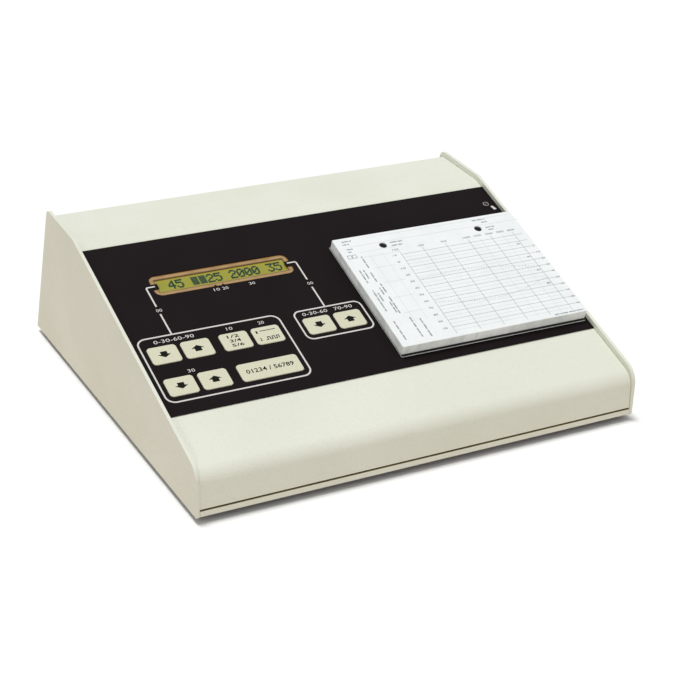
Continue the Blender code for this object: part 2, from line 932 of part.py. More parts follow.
def make_keypad_board(slope, laminate):
    left, right, low, high = keypad_board_box()
    hole = board_stud_pin_diameter + 2 * fit_gap
    outlines = [
        rectangle(right - left, high - low, board_corner, (left + right) / 2, (low + high) / 2)
    ]
    outlines += [circle(hole, x, y, small_turn_steps) for x, y in keypad_stud_places()]
    board = plate("keypad_board", outlines, keypad_board_under, keypad_board_top, laminate)
    domes = [circle(dome_diameter, x, y) for _, x, y, _ in keys]
    half_board = keypad_board_top - board_thickness / 2
    join(board, place(plate("domes", domes, half_board, dome_top), slope))
    return place(board, slope)


def make_display(slope, brass, glass, laminate):
    """The display module: a bent metal frame over the glass cell, on its own small board."""
    at = (display_centre_x, display_centre_up)
    wide = display_slot_width + 2 * display_frame_margin
    high = display_slot_height + 2 * display_frame_margin
    window = rectangle(display_window_width, display_window_height, display_window_corner)
    bezel = plate(
        "display_frame",
        [rectangle(wide, high, board_corner), window],
        display_frame_under,
        display_frame_top,
        brass,
    )
    recess = plate(
        "display_frame_recess",
        [rectangle(wide - 2 * display_frame_wall, high - 2 * display_frame_wall, least_radius)],
        display_frame_under - overrun,
        display_frame_top - display_glass_recess,
    )
    cut(bezel, place(recess, slope, *at))
    place(bezel, slope, *at)
    cell = rectangle(
        display_window_width + 2 * display_glass_margin,
        display_window_height + 2 * display_glass_margin,
        least_radius,
    )
    cell_under = display_glass_top - display_glass_thickness
    place(plate("display_glass", [cell], cell_under, display_glass_top, glass), slope, *at)
    hole = board_stud_pin_diameter + 2 * fit_gap
    outlines = [rectangle(display_board_width, display_board_height, board_corner, *at)]
    outlines += [circle(hole, x, y, small_turn_steps) for x, y in display_stud_places()]
    board = plate("display_board", outlines, display_board_under, display_board_top, laminate)
    backing = plate(
        "display_backing",
        [rectangle(display_window_width, display_window_height, least_radius, *at)],
        display_board_top - board_thickness / 2,
        cell_under - fit_gap,
    )
    join(board, place(backing, slope))
    place(board, slope)


def make_indicator(slope, metal, lens):
    ring_top = overlay_top + fit_gap + led_ring_rise
    ring_seat = overlay_top + fit_gap
    bore = led_flange_diameter / 2 + fit_gap / 3
    mouth = led_diameter / 2 + fit_gap
    shelf = ring_seat - fit_gap
    ring = [
        (mouth, ring_top),
        (led_ring_diameter / 2, ring_top - led_ring_rise / 3),
        (led_ring_diameter / 2, ring_seat),
        (led_ring_tube_diameter / 2, ring_seat),
        (led_ring_tube_diameter / 2, ring_top - led_ring_length),
        (bore, ring_top - led_ring_length),
        (bore, shelf),
        (mouth, shelf),
        (mouth, ring_top),
    ]
    place(turned("power_indicator_ring", ring, metal), slope, led_x, led_up_slope)
    dome = led_diameter / 2
    turns = [pi / 2 * i / corner_steps for i in range(corner_steps + 1)]
    crown = [(sin(a) * dome, ring_top - dome + cos(a) * dome) for a in turns]
    collar = shelf - fit_gap
    body = crown + [
        (dome, collar),
        (led_flange_diameter / 2, collar),
        (led_flange_diameter / 2, ring_top - led_length),
        (0, ring_top - led_length),
    ]
    place(turned("power_indicator", body, lens), slope, led_x, led_up_slope)


def make_pad(slope, paper, board, card):
    """The pad, its dark backing and the loose card beneath, trimmed a little askew to their holes."""
    middle = Vector((pad_centre_x, pad_centre_up))
    askew = Matrix.Rotation(pad_turn, 2)
    holes = [circle(pad_hole_diameter, x, peg_up_slope) for x in peg_columns]
    card_size = (pad_width + 2 * pad_card_side_overhang, pad_length + 2 * pad_card_end_overhang)
    backing_size = (pad_width - 2 * pad_backing_inset, pad_length - 2 * pad_backing_inset)
    layers = [
        ("pad_card", card_size, pad_card_under, pad_card_thickness, card),
        ("pad_backing", backing_size, pad_backing_under, pad_backing_thickness, board),
        ("chart_pad", (pad_width, pad_length), pad_under, pad_thickness, paper),
    ]
    for name, size, under, thickness, material in layers:
        square = rectangle(*size, pad_corner)
        edge = [middle + askew @ corner for corner in square]
        place(plate(name, [edge] + holes, under, under + thickness, material), slope)


def make_peg(name, slope, x, plastic):
    tip = pad_top - peg_top_gap
    head = cover_inside - fit_gap
    radius = peg_diameter / 2
    shoulder = [
        (radius - peg_tip_radius * (1 - sin(a)), tip - peg_tip_radius * (1 - cos(a)))
        for a in (pi / 2 * i / corner_steps for i in range(corner_steps + 1))
    ]
    profile = [(0, tip)] + shoulder + [
        (radius, head),
        (peg_head_diameter / 2, head),
        (peg_head_diameter / 2, head - peg_head_thickness),
        (0, head - peg_head_thickness),
    ]
    return place(turned(name, profile, plastic), slope, x, peg_up_slope)


# Rear fittings


def inlet_shape(width, height, chamfer, grown=0, x=0, y=socket_row_height):
    """A rectangle with its two upper corners cut off, the mark of a mains inlet."""
    half = width / 2 + grown
    low = y - height / 2 - grown
    high = y + height / 2 + grown
    cut_back = chamfer + grown / 2
    return [
        Vector((x - half, low)),
        Vector((x + half, low)),
        Vector((x + half, high - cut_back)),
        Vector((x + half - cut_back, high)),
        Vector((x - half + cut_back, high)),
        Vector((x - half, high - cut_back)),
    ]


def inlet_pins():
    """Name, x and y of each contact about the inlet's centre."""
    return [
        ("inlet_pin_left", -inlet_pin_spacing, -inlet_pin_offset),
        ("inlet_pin_earth", 0, inlet_pin_offset),
        ("inlet_pin_right", inlet_pin_spacing, -inlet_pin_offset),
    ]


def make_inlet(rear, plastic, metal):
    flange_under = rear_panel_outside + fit_gap
    face = flange_under + inlet_flange_thickness
    back = face - inlet_body_depth
    floor = face - inlet_cavity_depth
    flange = rectangle(
        inlet_flange_width, inlet_flange_height, inlet_flange_corner, 0, socket_row_height
    )
    inlet = plate("mains_inlet", [flange], flange_under, face, plastic)
    body = plate(
        "inlet_body",
        [inlet_shape(inlet_body_width, inlet_body_height, inlet_chamfer)],
        back,
        face - inlet_flange_thickness / 2,
    )
    cavity = plate(
        "inlet_cavity",
        [inlet_shape(inlet_cavity_width, inlet_cavity_height, inlet_cavity_chamfer)],
        floor,
        face + overrun,
    )
    slots = [
        rectangle(
            inlet_pin_thickness + 2 * fit_gap,
            inlet_pin_width + 2 * fit_gap,
            0,
            x,
            socket_row_height + y,
        )
        for _, x, y in inlet_pins()
    ]
    join(inlet, place(body, rear, -inlet_x))
    cut(
        inlet,
        place(cavity, rear, -inlet_x),
        place(plate("inlet_slots", slots, back - overrun, floor + overrun), rear, -inlet_x),
    )
    place(inlet, rear, -inlet_x)
    for name, x, y in inlet_pins():
        blade = rectangle(inlet_pin_thickness, inlet_pin_width)
        pin = plate(name, [blade], back - inlet_tag_length, face - inlet_pin_recess, metal)
        place(pin, rear, x - inlet_x, socket_row_height + y)


def rocker_outline():
    """Side view of the rocker about its pivot: round ends, a shallow valley across the face."""
    low = -asin(rocker_bottom_drop / rocker_reach)
    high = asin((rocker_pivot_depth + rocker_crown) / rocker_reach)
    sweep = [low + (high - low) * i / arc_steps for i in range(arc_steps + 1)]
    right = [Vector((cos(a), sin(a))) * rocker_reach for a in sweep]
    left = [Vector((-p.x, p.y)) for p in reversed(right)]
    return right + [Vector((0, rocker_pivot_depth))] + left


def make_switch(rear, plastic, rocker_plastic):
    """A rocker switch in its housing, its upper end pressed in: switched on."""
    seat = rear_panel_outside + fit_gap
    face = seat + switch_bezel_thickness
    body_back = face - switch_body_depth
    bezel = rectangle(switch_bezel_width, switch_bezel_height, switch_bezel_corner)
    switch = plate("power_switch_body", [bezel], seat, face, plastic)
    housing = plate(
        "switch_housing",
        [rectangle(switch_body_width, switch_body_height)],
        body_back,
        face - switch_bezel_thickness / 2,
    )
    cavity_width = rocker_width + 2 * rocker_side_gap
    cavity_height = 2 * (rocker_reach + rocker_side_gap)
    cavity = plate(
        "switch_cavity",
        [rectangle(cavity_width, cavity_height)],
        face - switch_cavity_depth,
        face + overrun,
    )
    pivot = face - rocker_pivot_depth
    axle_length = rocker_width + 2 * rocker_side_gap + 2 * rocker_axle_stub
    axle_hole = upright(
        rod(
            "axle_hole",
            rocker_axle_diameter + 2 * fit_gap,
            -axle_length / 2 - fit_gap,
            axle_length / 2 + fit_gap,
            small_turn_steps,
        )
    )
    join(switch, place(housing, rear, -switch_x, socket_row_height))
    cut(
        switch,
        place(cavity, rear, -switch_x, socket_row_height),
        place(axle_hole, rear, -switch_x, socket_row_height, pivot),
    )
    place(switch, rear, -switch_x, socket_row_height)
    half = rocker_width / 2
    rocker = upright(plate("power_rocker", [rocker_outline()], -half, half, rocker_plastic))
    axle = upright(
        rod("rocker_axle", rocker_axle_diameter, -axle_length / 2, axle_length / 2, small_turn_steps)
    )
    join(rocker, place(axle, rear, -switch_x, socket_row_height, pivot))
    place(rocker, rear, -switch_x, socket_row_height, pivot)
    rocker.rotation_euler = (-rocker_half_throw, 0, 0)


def jacks():
    """Name and x of each socket."""
    names = ("response_jack", "phone_jack_right", "phone_jack_left")
    return [(name, jack_first_x + i * jack_spacing) for i, name in enumerate(names)]


def make_jack(name, rear, x, plastic, metal):
    """A quarter-inch socket: a bored body behind the panel, a bushing through it and a nut outside."""
    body_top = rear_panel_inside - fit_gap
    mouth = rear_panel_outside + jack_bushing_length
    bore_end = mouth - jack_bore_depth
    body_back = body_top - jack_body_length
    profile = [
        (0, bore_end),
        (jack_bore_diameter / 2, bore_end),
        (jack_bore_diameter / 2, mouth),
        (jack_bushing_diameter / 2, mouth),
        (jack_bushing_diameter / 2, body_top),
        (jack_body_diameter / 2, body_top),
        (jack_body_diameter / 2, body_back),
        (0, body_back),
    ]
    place(turned(name, profile, plastic), rear, -x, socket_row_height)
    seat = rear_panel_outside + fit_gap
    hole = circle(jack_bushing_diameter + 2 * fit_gap)
    outlines = [hexagon(jack_nut_across_flats), hole]
    nut = plate(name + "_nut", outlines, seat, seat + jack_nut_height, metal)
    place(nut, rear, -x, socket_row_height)


# Inside the case


def make_main_board(case, laminate):
    hole = stand_pin_diameter + 2 * fit_gap
    outlines = [
        rectangle(main_board_width, main_board_length, board_corner, main_board_x, main_board_y)
    ]
    outlines += [circle(hole, x, y, small_turn_steps) for x, y in stand_places()]
    return place(plate("main_board", outlines, main_board_under, main_board_top, laminate), case)


def make_transformer(case, steel, tape):
    """A laminated core with two windows, and the coil round its middle leg."""
    window_width = (transformer_width - 4 * transformer_leg) / 2
    window_x = transformer_leg + window_width / 2
    middle = transformer_height / 2
    outlines = [rectangle(transformer_width, transformer_height, 0, 0, middle)]
    outlines += [
        rectangle(window_width, transformer_window_height, 0, x, middle) for x in (-window_x, window_x)
    ]
    core = plate("transformer_core", outlines, -transformer_stack / 2, transformer_stack / 2, steel)
    core.data.transform(Matrix.Rotation(pi / 2, 4, "X"))
    bottom = floor_top + fit_gap
    place(core, case, transformer_x, transformer_y, bottom)
    hole_width = 2 * (transformer_leg + fit_gap)
    hole_length = transformer_stack + 2 * fit_gap
    coil_width = 2 * (transformer_leg + window_width - fit_gap)
    coil_half = transformer_window_height / 2 - fit_gap
    outer = rectangle(coil_width, coil_length, board_corner)
    inner = rectangle(hole_width, hole_length)
    coil = plate("transformer_coil", [outer, inner], -coil_half, coil_half, tape)
    place(coil, case, transformer_x, transformer_y, bottom + middle)


def make_capacitor(case, sleeve):
    seat = main_board_top + fit_gap
    top = seat + capacitor_height
    radius = capacitor_diameter / 2
    profile = [
        (0, top),
        (radius - capacitor_edge_radius, top),
        (radius, top - capacitor_edge_radius),
        (radius, seat),
        (0, seat),
    ]
    capacitor = turned("smoothing_capacitor", profile, sleeve)
    return place(capacitor, case, main_board_x + capacitor_along, main_board_y + capacitor_back)


def make_heat_sink(case, metal):
    """An extruded comb of upright fins."""
    half = heat_sink_width / 2
    pitch = (heat_sink_width - heat_sink_fin) / (heat_sink_fins - 1)
    outline = [Vector((-half, 0)), Vector((half, 0))]
    for i in reversed(range(heat_sink_fins)):
        left = -half + i * pitch
        outline += [Vector((left + heat_sink_fin, heat_sink_depth)), Vector((left, heat_sink_depth))]
        if i:
            outline += [
                Vector((left, heat_sink_base)),
                Vector((left - pitch + heat_sink_fin, heat_sink_base)),
            ]
    seat = main_board_top + fit_gap
    sink = plate("heat_sink", [outline], seat, seat + heat_sink_height, metal)
    return place(sink, case, main_board_x + heat_sink_along, main_board_y + heat_sink_back)


def make_ribbon(name, case, x, start, end, material):
    """A flat lead that leaves a board square to it, bows forward and lands on the main board."""
    out = -slope_out * ribbon_sag
    down = Vector((0, ribbon_sag))
    controls = [start, start + out, end + down, end]
    steps = small_turn_steps
    shares = [i / steps for i in range(steps + 1)]
    path = [
        controls[0] * (1 - t) ** 3
        + controls[1] * 3 * t * (1 - t) ** 2
        + controls[2] * 3 * t**2 * (1 - t)
        + controls[3] * t**3
        for t in shares
    ]
    half = ribbon_thickness / 2
    one_side = offset_chain(path, half)
    other_side = offset_chain(path, -half)
    ribbon = plate(name, [one_side + other_side[::-1]], -ribbon_width / 2, ribbon_width / 2, material)
    return place(upright(ribbon), case, x)


def make_ribbons(case, material):
    landing = main_board_top + fit_gap
    board_rear = keypad_board_box()[3]
    start = case_point(board_rear - ribbon_keypad_board_inset, keypad_board_under - fit_gap)
    end = Vector((main_board_y + ribbon_keypad_back, landing))
    make_ribbon("keypad_ribbon", case, main_board_x + ribbon_keypad_along, start, end, material)
    start = case_point(display_centre_up, display_board_under - fit_gap)
    end = Vector((main_board_y + ribbon_display_back, landing))
    make_ribbon("display_ribbon", case, main_board_x + ribbon_display_along, start, end, material)


def main():
    clear_scene()
    cream_paint = finish("cream_paint", (0.78, 0.78, 0.68), 0.55)
    black_film = finish("black_film", (0.017, 0.014, 0.015), 0.45)
    key_plastic = finish("key_plastic", (0.72, 0.70, 0.56), 0.5)
    rubber = finish("rubber", (0.03, 0.03, 0.03), 0.85)
    steel = finish("steel", (0.55, 0.55, 0.54), 0.35, 1.0)
    brass_plate = finish("brass_plate", (0.62, 0.38, 0.17), 0.45, 0.6)
    display_green = finish("display_green", (0.48, 0.51, 0.09), 0.2)
    laminate = finish("laminate", (0.02, 0.16, 0.06), 0.5)
    lens = finish("lens", (0.05, 0.02, 0.03), 0.2)
    paper = finish("paper", (0.87, 0.90, 0.92), 0.85)
    dark_board = finish("dark_board", (0.03, 0.03, 0.03), 0.8)
    white_card = finish("white_card", (0.80, 0.81, 0.80), 0.8)
    black_plastic = finish("black_plastic", (0.02, 0.02, 0.02), 0.4)
    core_steel = finish("core_steel", (0.16, 0.16, 0.17), 0.5, 0.8)
    coil_tape = finish("coil_tape", (0.65, 0.42, 0.10), 0.5)
    blue_sleeve = finish("blue_sleeve", (0.03, 0.05, 0.20), 0.35)
    black_alloy = finish("black_alloy", (0.04, 0.04, 0.045), 0.5, 0.7)
    grey_lead = finish("grey_lead", (0.42, 0.42, 0.42), 0.5)

    origin = Vector((0, -cheek_depth / 2, foot_height))
    case = frame("case_frame", None, origin, Matrix.Identity(3))
    slope = frame("slope_frame", case, (0, 0, nose_height), Matrix.Rotation(slope_angle, 3, "X"))
    face = Matrix(
        (
            (-1, 0, 0),
            (0, -sin(slope_angle), cos(slope_angle)),
            (0, cos(slope_angle), sin(slope_angle)),
        )
    )
    rear = frame("rear_frame", case, (0, case_depth, 0), face)

    for side, word in ((-1, "left"), (1, "right")):
        make_cheek(side, word + "_side_panel", case, cream_paint)
        for place_name, spot in cheek_stud_places():
            make_nut(f"{word}_{place_name}_nut", case, side, spot, steel)
    make_cover(case, slope, rear, cream_paint)
    make_base(case, rear, cream_paint)
    make_rear_panel(case, rear, cream_paint)
    foot_names = ("foot_front_left", "foot_rear_left", "foot_front_right", "foot_rear_right")
    for name, (x, y) in zip(foot_names, foot_places()):
        make_foot(name, case, x, y, rubber)
    for height, level in ((upper_screw_height, "upper"), (lower_screw_height, "lower")):
        make_screw(f"rear_screw_{level}_right", rear, -rear_screw_x, height, steel)
        make_screw(f"rear_screw_{level}_left", rear, rear_screw_x, height, steel)

    make_overlay(slope, black_film)
    for name, x, y, width in keys:
        make_key(name, slope, x, y, width, key_plastic)
    make_keypad_board(slope, laminate)
    make_display(slope, brass_plate, display_green, laminate)
    make_indicator(slope, steel, lens)
    make_pad(slope, paper, dark_board, white_card)
    for name, x in zip(("pad_peg_left", "pad_peg_right"), peg_columns):
        make_peg(name, slope, x, black_plastic)

    make_inlet(rear, black_plastic, steel)
    make_switch(rear, black_plastic, black_plastic)
    for name, x in jacks():
        make_jack(name, rear, x, black_plastic, steel)

    make_main_board(case, laminate)
    make_transformer(case, core_steel, coil_tape)
    make_capacitor(case, blue_sleeve)
    make_heat_sink(case, black_alloy)
    make_ribbons(case, grey_lead)


main()
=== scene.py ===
# %% [markdown]
# # A desktop audiometer, dressed for the camera
# An audiometer plays pure tones to a listener and finds the faintest one that is heard. This one is a
# wedge of folded and painted steel sheet between two end cheeks. It has a black printed panel with nine
# keys, a one-line display and a pad of blank charts on two pegs.
#
# The solids come from a CAD model that is already in place. This lesson gives them their edges, prints
# and finishes. It starts by loading that model, because every later piece takes its place from it.

import json
from math import atan2, cos, pi, radians, sin, tan

import bmesh
import bpy
from mathutils import Matrix, Vector


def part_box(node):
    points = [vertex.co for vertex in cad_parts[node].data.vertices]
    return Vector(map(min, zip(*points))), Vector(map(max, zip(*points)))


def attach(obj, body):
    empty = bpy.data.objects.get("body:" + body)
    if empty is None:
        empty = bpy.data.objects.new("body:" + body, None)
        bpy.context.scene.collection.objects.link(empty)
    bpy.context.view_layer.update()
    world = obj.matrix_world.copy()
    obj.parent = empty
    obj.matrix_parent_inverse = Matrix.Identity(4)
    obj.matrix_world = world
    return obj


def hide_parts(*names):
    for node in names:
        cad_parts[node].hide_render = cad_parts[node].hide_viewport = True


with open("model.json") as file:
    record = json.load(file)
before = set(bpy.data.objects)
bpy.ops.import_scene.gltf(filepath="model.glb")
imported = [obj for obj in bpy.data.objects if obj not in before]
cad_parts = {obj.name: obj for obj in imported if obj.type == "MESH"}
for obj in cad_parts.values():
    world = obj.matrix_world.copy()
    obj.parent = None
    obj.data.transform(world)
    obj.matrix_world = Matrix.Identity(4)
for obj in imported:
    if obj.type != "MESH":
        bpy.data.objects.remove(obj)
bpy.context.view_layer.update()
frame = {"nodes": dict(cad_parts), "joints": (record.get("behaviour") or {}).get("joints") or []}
nodes = frame["nodes"]
mm = 0.001

# %% [markdown]
# The keys, the display and the pad all lie on a slope. Plain numbers are easier to read in a frame that
# leans with it: x to the right, y up the slope from the nose, z out of the slope from the cheek's edge.
# The pad lifts square to the slope, so its joint gives the direction. A second frame lies on the rear
# face, and a third stands upright at the front edge.

# %% Find the three working frames
lift = next(joint for joint in frame["joints"] if joint["name"] == "pad_lift")
across, back, up = Vector((1, 0, 0)), Vector((0, 1, 0)), Vector((0, 0, 1))
slope_out = Vector(lift["axis"]).normalized()
slope_up = slope_out.cross(across)


def reach(name, direction):
    """How far a solid goes in one direction, at its highest point."""
    return max(direction.dot(v.co) for v in nodes[name].data.vertices)


def frame_at(point, *axes):
    return Matrix.Translation(point) @ Matrix(axes).transposed().to_4x4()


def at(place, x, y, z=0.0):
    """A frame moved along its own axes."""
    return place @ Matrix.Translation((x, y, z))


cheek_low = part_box("left_side_panel")[0]
front_y, base_z = cheek_low.y, cheek_low.z
nose_z = (reach("left_side_panel", slope_out) - slope_out.y * front_y) / slope_out.z
rear_y = (reach("left_side_panel", slope_up) - slope_up.z * base_z) / slope_up.y
slope = frame_at((0, front_y, nose_z), across, slope_up, slope_out)
rear = frame_at((0, rear_y, base_z), -across, slope_out, slope_up)
case = frame_at((0, front_y, base_z), across, back, up)


def box_in(place, name):
    """A solid's lowest and highest corner in one of the frames."""
    into = place.inverted()
    spots = [into @ v.co for v in nodes[name].data.vertices]
    return [Vector(pick(spot[i] for spot in spots) for i in range(3)) for pick in (min, max)]


def middle_in(place, name):
    return sum(box_in(place, name), Vector((0, 0, 0))) / 2


overlay_low, overlay_high = box_in(slope, "keypad_overlay")
overlay_top = overlay_high.z
print("slope leans", round(atan2(slope_up.z, slope_up.y) * 180 / pi, 2), "degrees")

# %% [markdown]
# ## Materials as arithmetic
# A finish is mostly a few patterns that are added, scaled and mixed. Wiring that node by node hides the
# idea, so a small class wraps one socket and lets it be added and multiplied like a number. A second
# class holds one material and makes any node from its type, its settings and its values.

# %% Sockets that add and multiply
def wire(tree, kind, values, settings, result):
    """Makes a node: its settings first, then the values and links of its sockets."""
    made = tree.nodes.new(kind)
    for key, setting in settings.items():
        setattr(made, key, setting)
    for key, value in values.items():
        if isinstance(value, bpy.types.NodeSocket):
            tree.links.new(value, made.inputs[key])
        else:
            made.inputs[key].default_value = value
    return made.outputs[result]


class Value:
    """One result of a material's nodes. Arithmetic on it adds the Math nodes."""

    def __init__(self, finish, socket):
        self.finish, self.socket = finish, socket

    def maths(self, operation, *values):
        return self.finish.node("Math", dict(enumerate(values)), operation=operation)

    def __add__(self, other):
        return self.maths("ADD", self, other)

    def __sub__(self, other):
        return self.maths("SUBTRACT", self, other)

    def __rsub__(self, other):
        return self.maths("SUBTRACT", other, self)

    def __mul__(self, other):
        return self.maths("MULTIPLY", self, other)

    __radd__ = __add__
    __rmul__ = __mul__

    def above(self, edge):
        return self.maths("GREATER_THAN", self, edge)

    def stretched(self, low, high):
        """The same value, with low and high moved to 0 and 1, and cut off there."""
        return self.finish.node("MapRange", {0: self, 1: low, 2: high}, clamp=True)


class Finish:
    """A material that is being made."""

    def __init__(self, name):
        self.material = bpy.data.materials.new(name)
        self.material.use_nodes = True
        self.tree = self.material.node_tree
        self.tree.nodes.clear()
        self.output = self.tree.nodes.new("ShaderNodeOutputMaterial")

    def node(self, kind, values, result=0, **settings):
        sockets = {key: getattr(value, "socket", value) for key, value in values.items()}
        return Value(self, wire(self.tree, "ShaderNode" + kind, sockets, settings, result))

    def spot(self):
        return self.node("TexCoord", {}, "Object")

    def noise(self, scale, detail, squeeze=(1, 1, 1)):
        """A soft random pattern. Its scale is in waves to the metre."""
        spot = self.node("Mapping", {"Vector": self.spot(), "Scale": squeeze})
        return self.node("TexNoise", {"Vector": spot, "Scale": scale, "Detail": detail})

    def mix(self, share, *tones):
        """Mixes two colours, each of them a value or three screen levels."""
        first, second = [tone if isinstance(tone, Value) else colour(*tone) for tone in tones]
        return self.node("Mix", {0: share, 6: first, 7: second}, 2, data_type="RGBA")

    def along(self, direction):
        """How far a spot lies in one direction, in metres."""
        return self.node("VectorMath", {0: self.spot(), 1: direction}, 1, operation="DOT_PRODUCT")

    def bump(self, height, depth):
        return self.node("Bump", {"Height": height, "Distance": depth, "Strength": 1.0})

    def surface(self, **sockets):
        """Ends the material in a Principled shader. A socket's spaces are written as underscores."""
        values = {key.replace("_", " "): value for key, value in sockets.items()}
        shader = self.node("BsdfPrincipled", values)
        self.tree.links.new(shader.socket, self.output.inputs["Surface"])
        print("finish", self.material.name, "with", len(self.tree.nodes), "nodes")
        return self.material


def colour(*levels):
    """Screen levels from 0 to 255 as the light-linear colour that shaders use."""
    shares = [level / 255 for level in levels]
    return (*[s / 12.92 if s < 0.04045 else ((s + 0.055) / 1.055) ** 2.4 for s in shares], 1.0)


# %% [markdown]
# ## The painted case
# The sheets wear a fine textured powder coat: baked dry paint with a skin like orange peel and pinhead
# specks of a darker tone. A picture could hold that, but it would repeat and blur. Three sizes of noise
# do it at any distance: broad ones cloud the tone, middle ones lift the skin, and the finest cut the
# specks.

# %% Cream powder coat
def powder_coat():
    coat = Finish("cream_powder_coat")
    cloud = coat.noise(14, 3).stretched(0.35, 0.65)
    peel = coat.noise(900, 2)
    grit = coat.noise(2300, 1)
    specks = grit.stretched(0.66, 0.72)
    body = coat.mix(cloud * 0.6, (227, 229, 217), (219, 221, 206))
    grained = coat.mix(grit.stretched(0.3, 0.7) * 0.28, body, (202, 202, 186))
    return coat.surface(
        Base_Color=coat.mix(specks * 0.55, grained, (168, 164, 146)),
        Roughness=0.42 + cloud * 0.08 + peel * 0.1,
        Specular_IOR_Level=0.35,
        Normal=coat.bump(peel + grit * 0.4, 0.05 * mm),
    )


cream_paint = powder_coat()

# %% [markdown]
# ## From solid to piece
# A CAD solid is a bag of loose triangles with knife-sharp edges. A real sheet edge is deburred, and its
# small rounding catches the light. So a copy of the solid is welded, its flat faces are joined up again,
# and a Bevel modifier rounds the edges. Weighted normals then keep the large faces flat. Every later
# piece uses the helpers below.

# %% Helpers that make, round and fix a piece
def new_piece(name, mesh):
    piece = bpy.data.objects.new(name, mesh)
    bpy.context.scene.collection.objects.link(piece)
    return piece


def piece_of(name, shape):
    """A new object from a finished bmesh."""
    mesh = bpy.data.meshes.new(name)
    shape.to_mesh(mesh)
    shape.free()
    return new_piece(name, mesh)


def plain(piece):
    """A new object whose plain mesh is what a curve, a text or a modified piece shows."""
    if not piece.users_scene:
        bpy.context.scene.collection.objects.link(piece)
    seen = piece.evaluated_get(bpy.context.evaluated_depsgraph_get())
    mesh = bpy.data.meshes.new_from_object(seen)
    name = piece.name
    bpy.data.objects.remove(piece)
    mesh.name = name
    return new_piece(name, mesh)


def reworked(piece, work):
    """Runs some work on a piece's mesh."""
    editable = bmesh.new()
    editable.from_mesh(piece.data)
    work(editable)
    editable.to_mesh(piece.data)
    editable.free()
    return piece


weld_gap, plane_angle, sharp_angle = 0.002 * mm, radians(0.5), 40


def weld(shape):
    bmesh.ops.remove_doubles(shape, verts=shape.verts, dist=weld_gap)
    bmesh.ops.recalc_face_normals(shape, faces=shape.faces)


def rejoin(shape):
    """Welds loose triangles and joins those that lie in one plane."""
    bmesh.ops.remove_doubles(shape, verts=shape.verts, dist=weld_gap)
    bmesh.ops.dissolve_limit(shape, angle_limit=plane_angle, verts=shape.verts, edges=shape.edges)


def softened(piece, radius):
    """Rounds every sharp edge."""
    edge = piece.modifiers.new("soft_edges", "BEVEL")
    edge.width, edge.segments = radius, 3
    edge.limit_method, edge.angle_limit = "ANGLE", radians(sharp_angle)
    return plain(piece)


def copy_of(name, new_name, radius):
    """A welded copy of a solid, with rounded edges."""
    return softened(reworked(new_piece(new_name, nodes[name].data.copy()), rejoin), radius)


def fix(piece, body, material, slot, *solids, crease=sharp_angle):
    """Shades a piece, paints it, and fixes it to its body in place of the solids that it stands for."""
    if material:
        piece.data.materials.clear()
        piece.data.materials.append(material)
    piece.data.shade_smooth()
    piece.data.set_sharp_from_angle(angle=radians(crease))
    piece.modifiers.new("flat_faces", "WEIGHTED_NORMAL").keep_sharp = True
    piece = plain(piece)
    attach(piece, body)
    if solids:
        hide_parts(*solids)
    print(piece.name, len(piece.data.polygons), "faces, on", body)
    return piece


# %% Plate and primer where no paint goes
def yellow_passivated():
    """Zinc plate with a yellow passivated skin, which drifts from gold to olive in clouds."""
    plate = Finish("yellow_passivated_plate")
    cloud = plate.noise(30, 3)
    stain = plate.noise(160, 2)
    drift = plate.mix(cloud.stretched(0.35, 0.65), (208, 190, 138), (184, 176, 128))
    return plate.surface(
        Base_Color=plate.mix(stain.stretched(0.5, 0.75) * 0.4, drift, (150, 132, 84)),
        Metallic=0.4,
        Roughness=0.4 + stain * 0.15,
    )


def dull_primer():
    """Dark grey etch primer, sprayed thinly under the base, and made dark so that it deepens the shade
    beneath the case.
    """
    primer = Finish("dull_base_primer")
    mist = primer.noise(260, 3)
    return primer.surface(
        Base_Color=primer.mix(mist.stretched(0.35, 0.65), (66, 65, 60), (82, 80, 73)),
        Roughness=0.65 + mist * 0.15,
        Specular_IOR_Level=0.25,
    )


def refinish(piece, material, chosen):
    """Gives another finish to the faces whose middle and direction pass a test."""
    piece.data.materials.append(material)
    faces = [face for face in piece.data.polygons if chosen(face.center, face.normal)]
    for face in faces:
        face.material_index = len(piece.data.materials) - 1
    print(len(faces), "faces of", piece.name, "in", material.name)


shelf_depth, shelf_height, floor_height, cover_height = 20 * mm, 12 * mm, 4 * mm, 20 * mm


def looks_inwards(spot, out):
    """True for the inner faces of the sheets: the floor, the shelf behind the seam, and the rest."""
    inwards, height = case_middle - spot, spot.z - base_z
    on_shelf = spot.y < front_y + shelf_depth and height < shelf_height
    on_floor = out.z > 0.5 and (height < floor_height or on_shelf)
    under_cover = out.z < -0.5 and height > cover_height
    return on_floor or under_cover or out.dot(inwards) > 0.3 * inwards.length


yellow_plate, shade_deepening_primer = yellow_passivated(), dull_primer()
case_middle = case @ Vector((0, (rear_y - front_y) / 2, nose_z / 2))

# %% Bend the case's sheets
for name, piece_name, radius, folded in (
    ("left_side_panel", "left_cheek", 0.3 * mm, False),
    ("right_side_panel", "right_cheek", 0.3 * mm, False),
    ("top_cover", "folded_cover", 0.2 * mm, True),
    ("base_tray", "folded_base", 0.2 * mm, True),
    ("rear_panel", "rear_plate", 0.2 * mm, True),
):
    sheet = fix(copy_of(name, piece_name, radius), "case", cream_paint, "cream_paint", name)
    if folded:
        refinish(sheet, yellow_plate, looks_inwards)
        # The underside takes the dark primer, a dark coat where there is only shade, which deepens the
        # shadow under the case.
        refinish(sheet, shade_deepening_primer, lambda spot, out: out.z < -0.98 and spot.z < base_z + 0.1 * mm)

# %% [markdown]
# ## The printed overlay
# The black panel is a printed film, stuck into the slope. Its window has a tab at each end that carries
# the end of a white line, and two small notches point at characters of the display. Film is best made as
# a flat curve: closed outlines, where an outline inside another is a hole. Blender fills it and gives it
# a thickness.

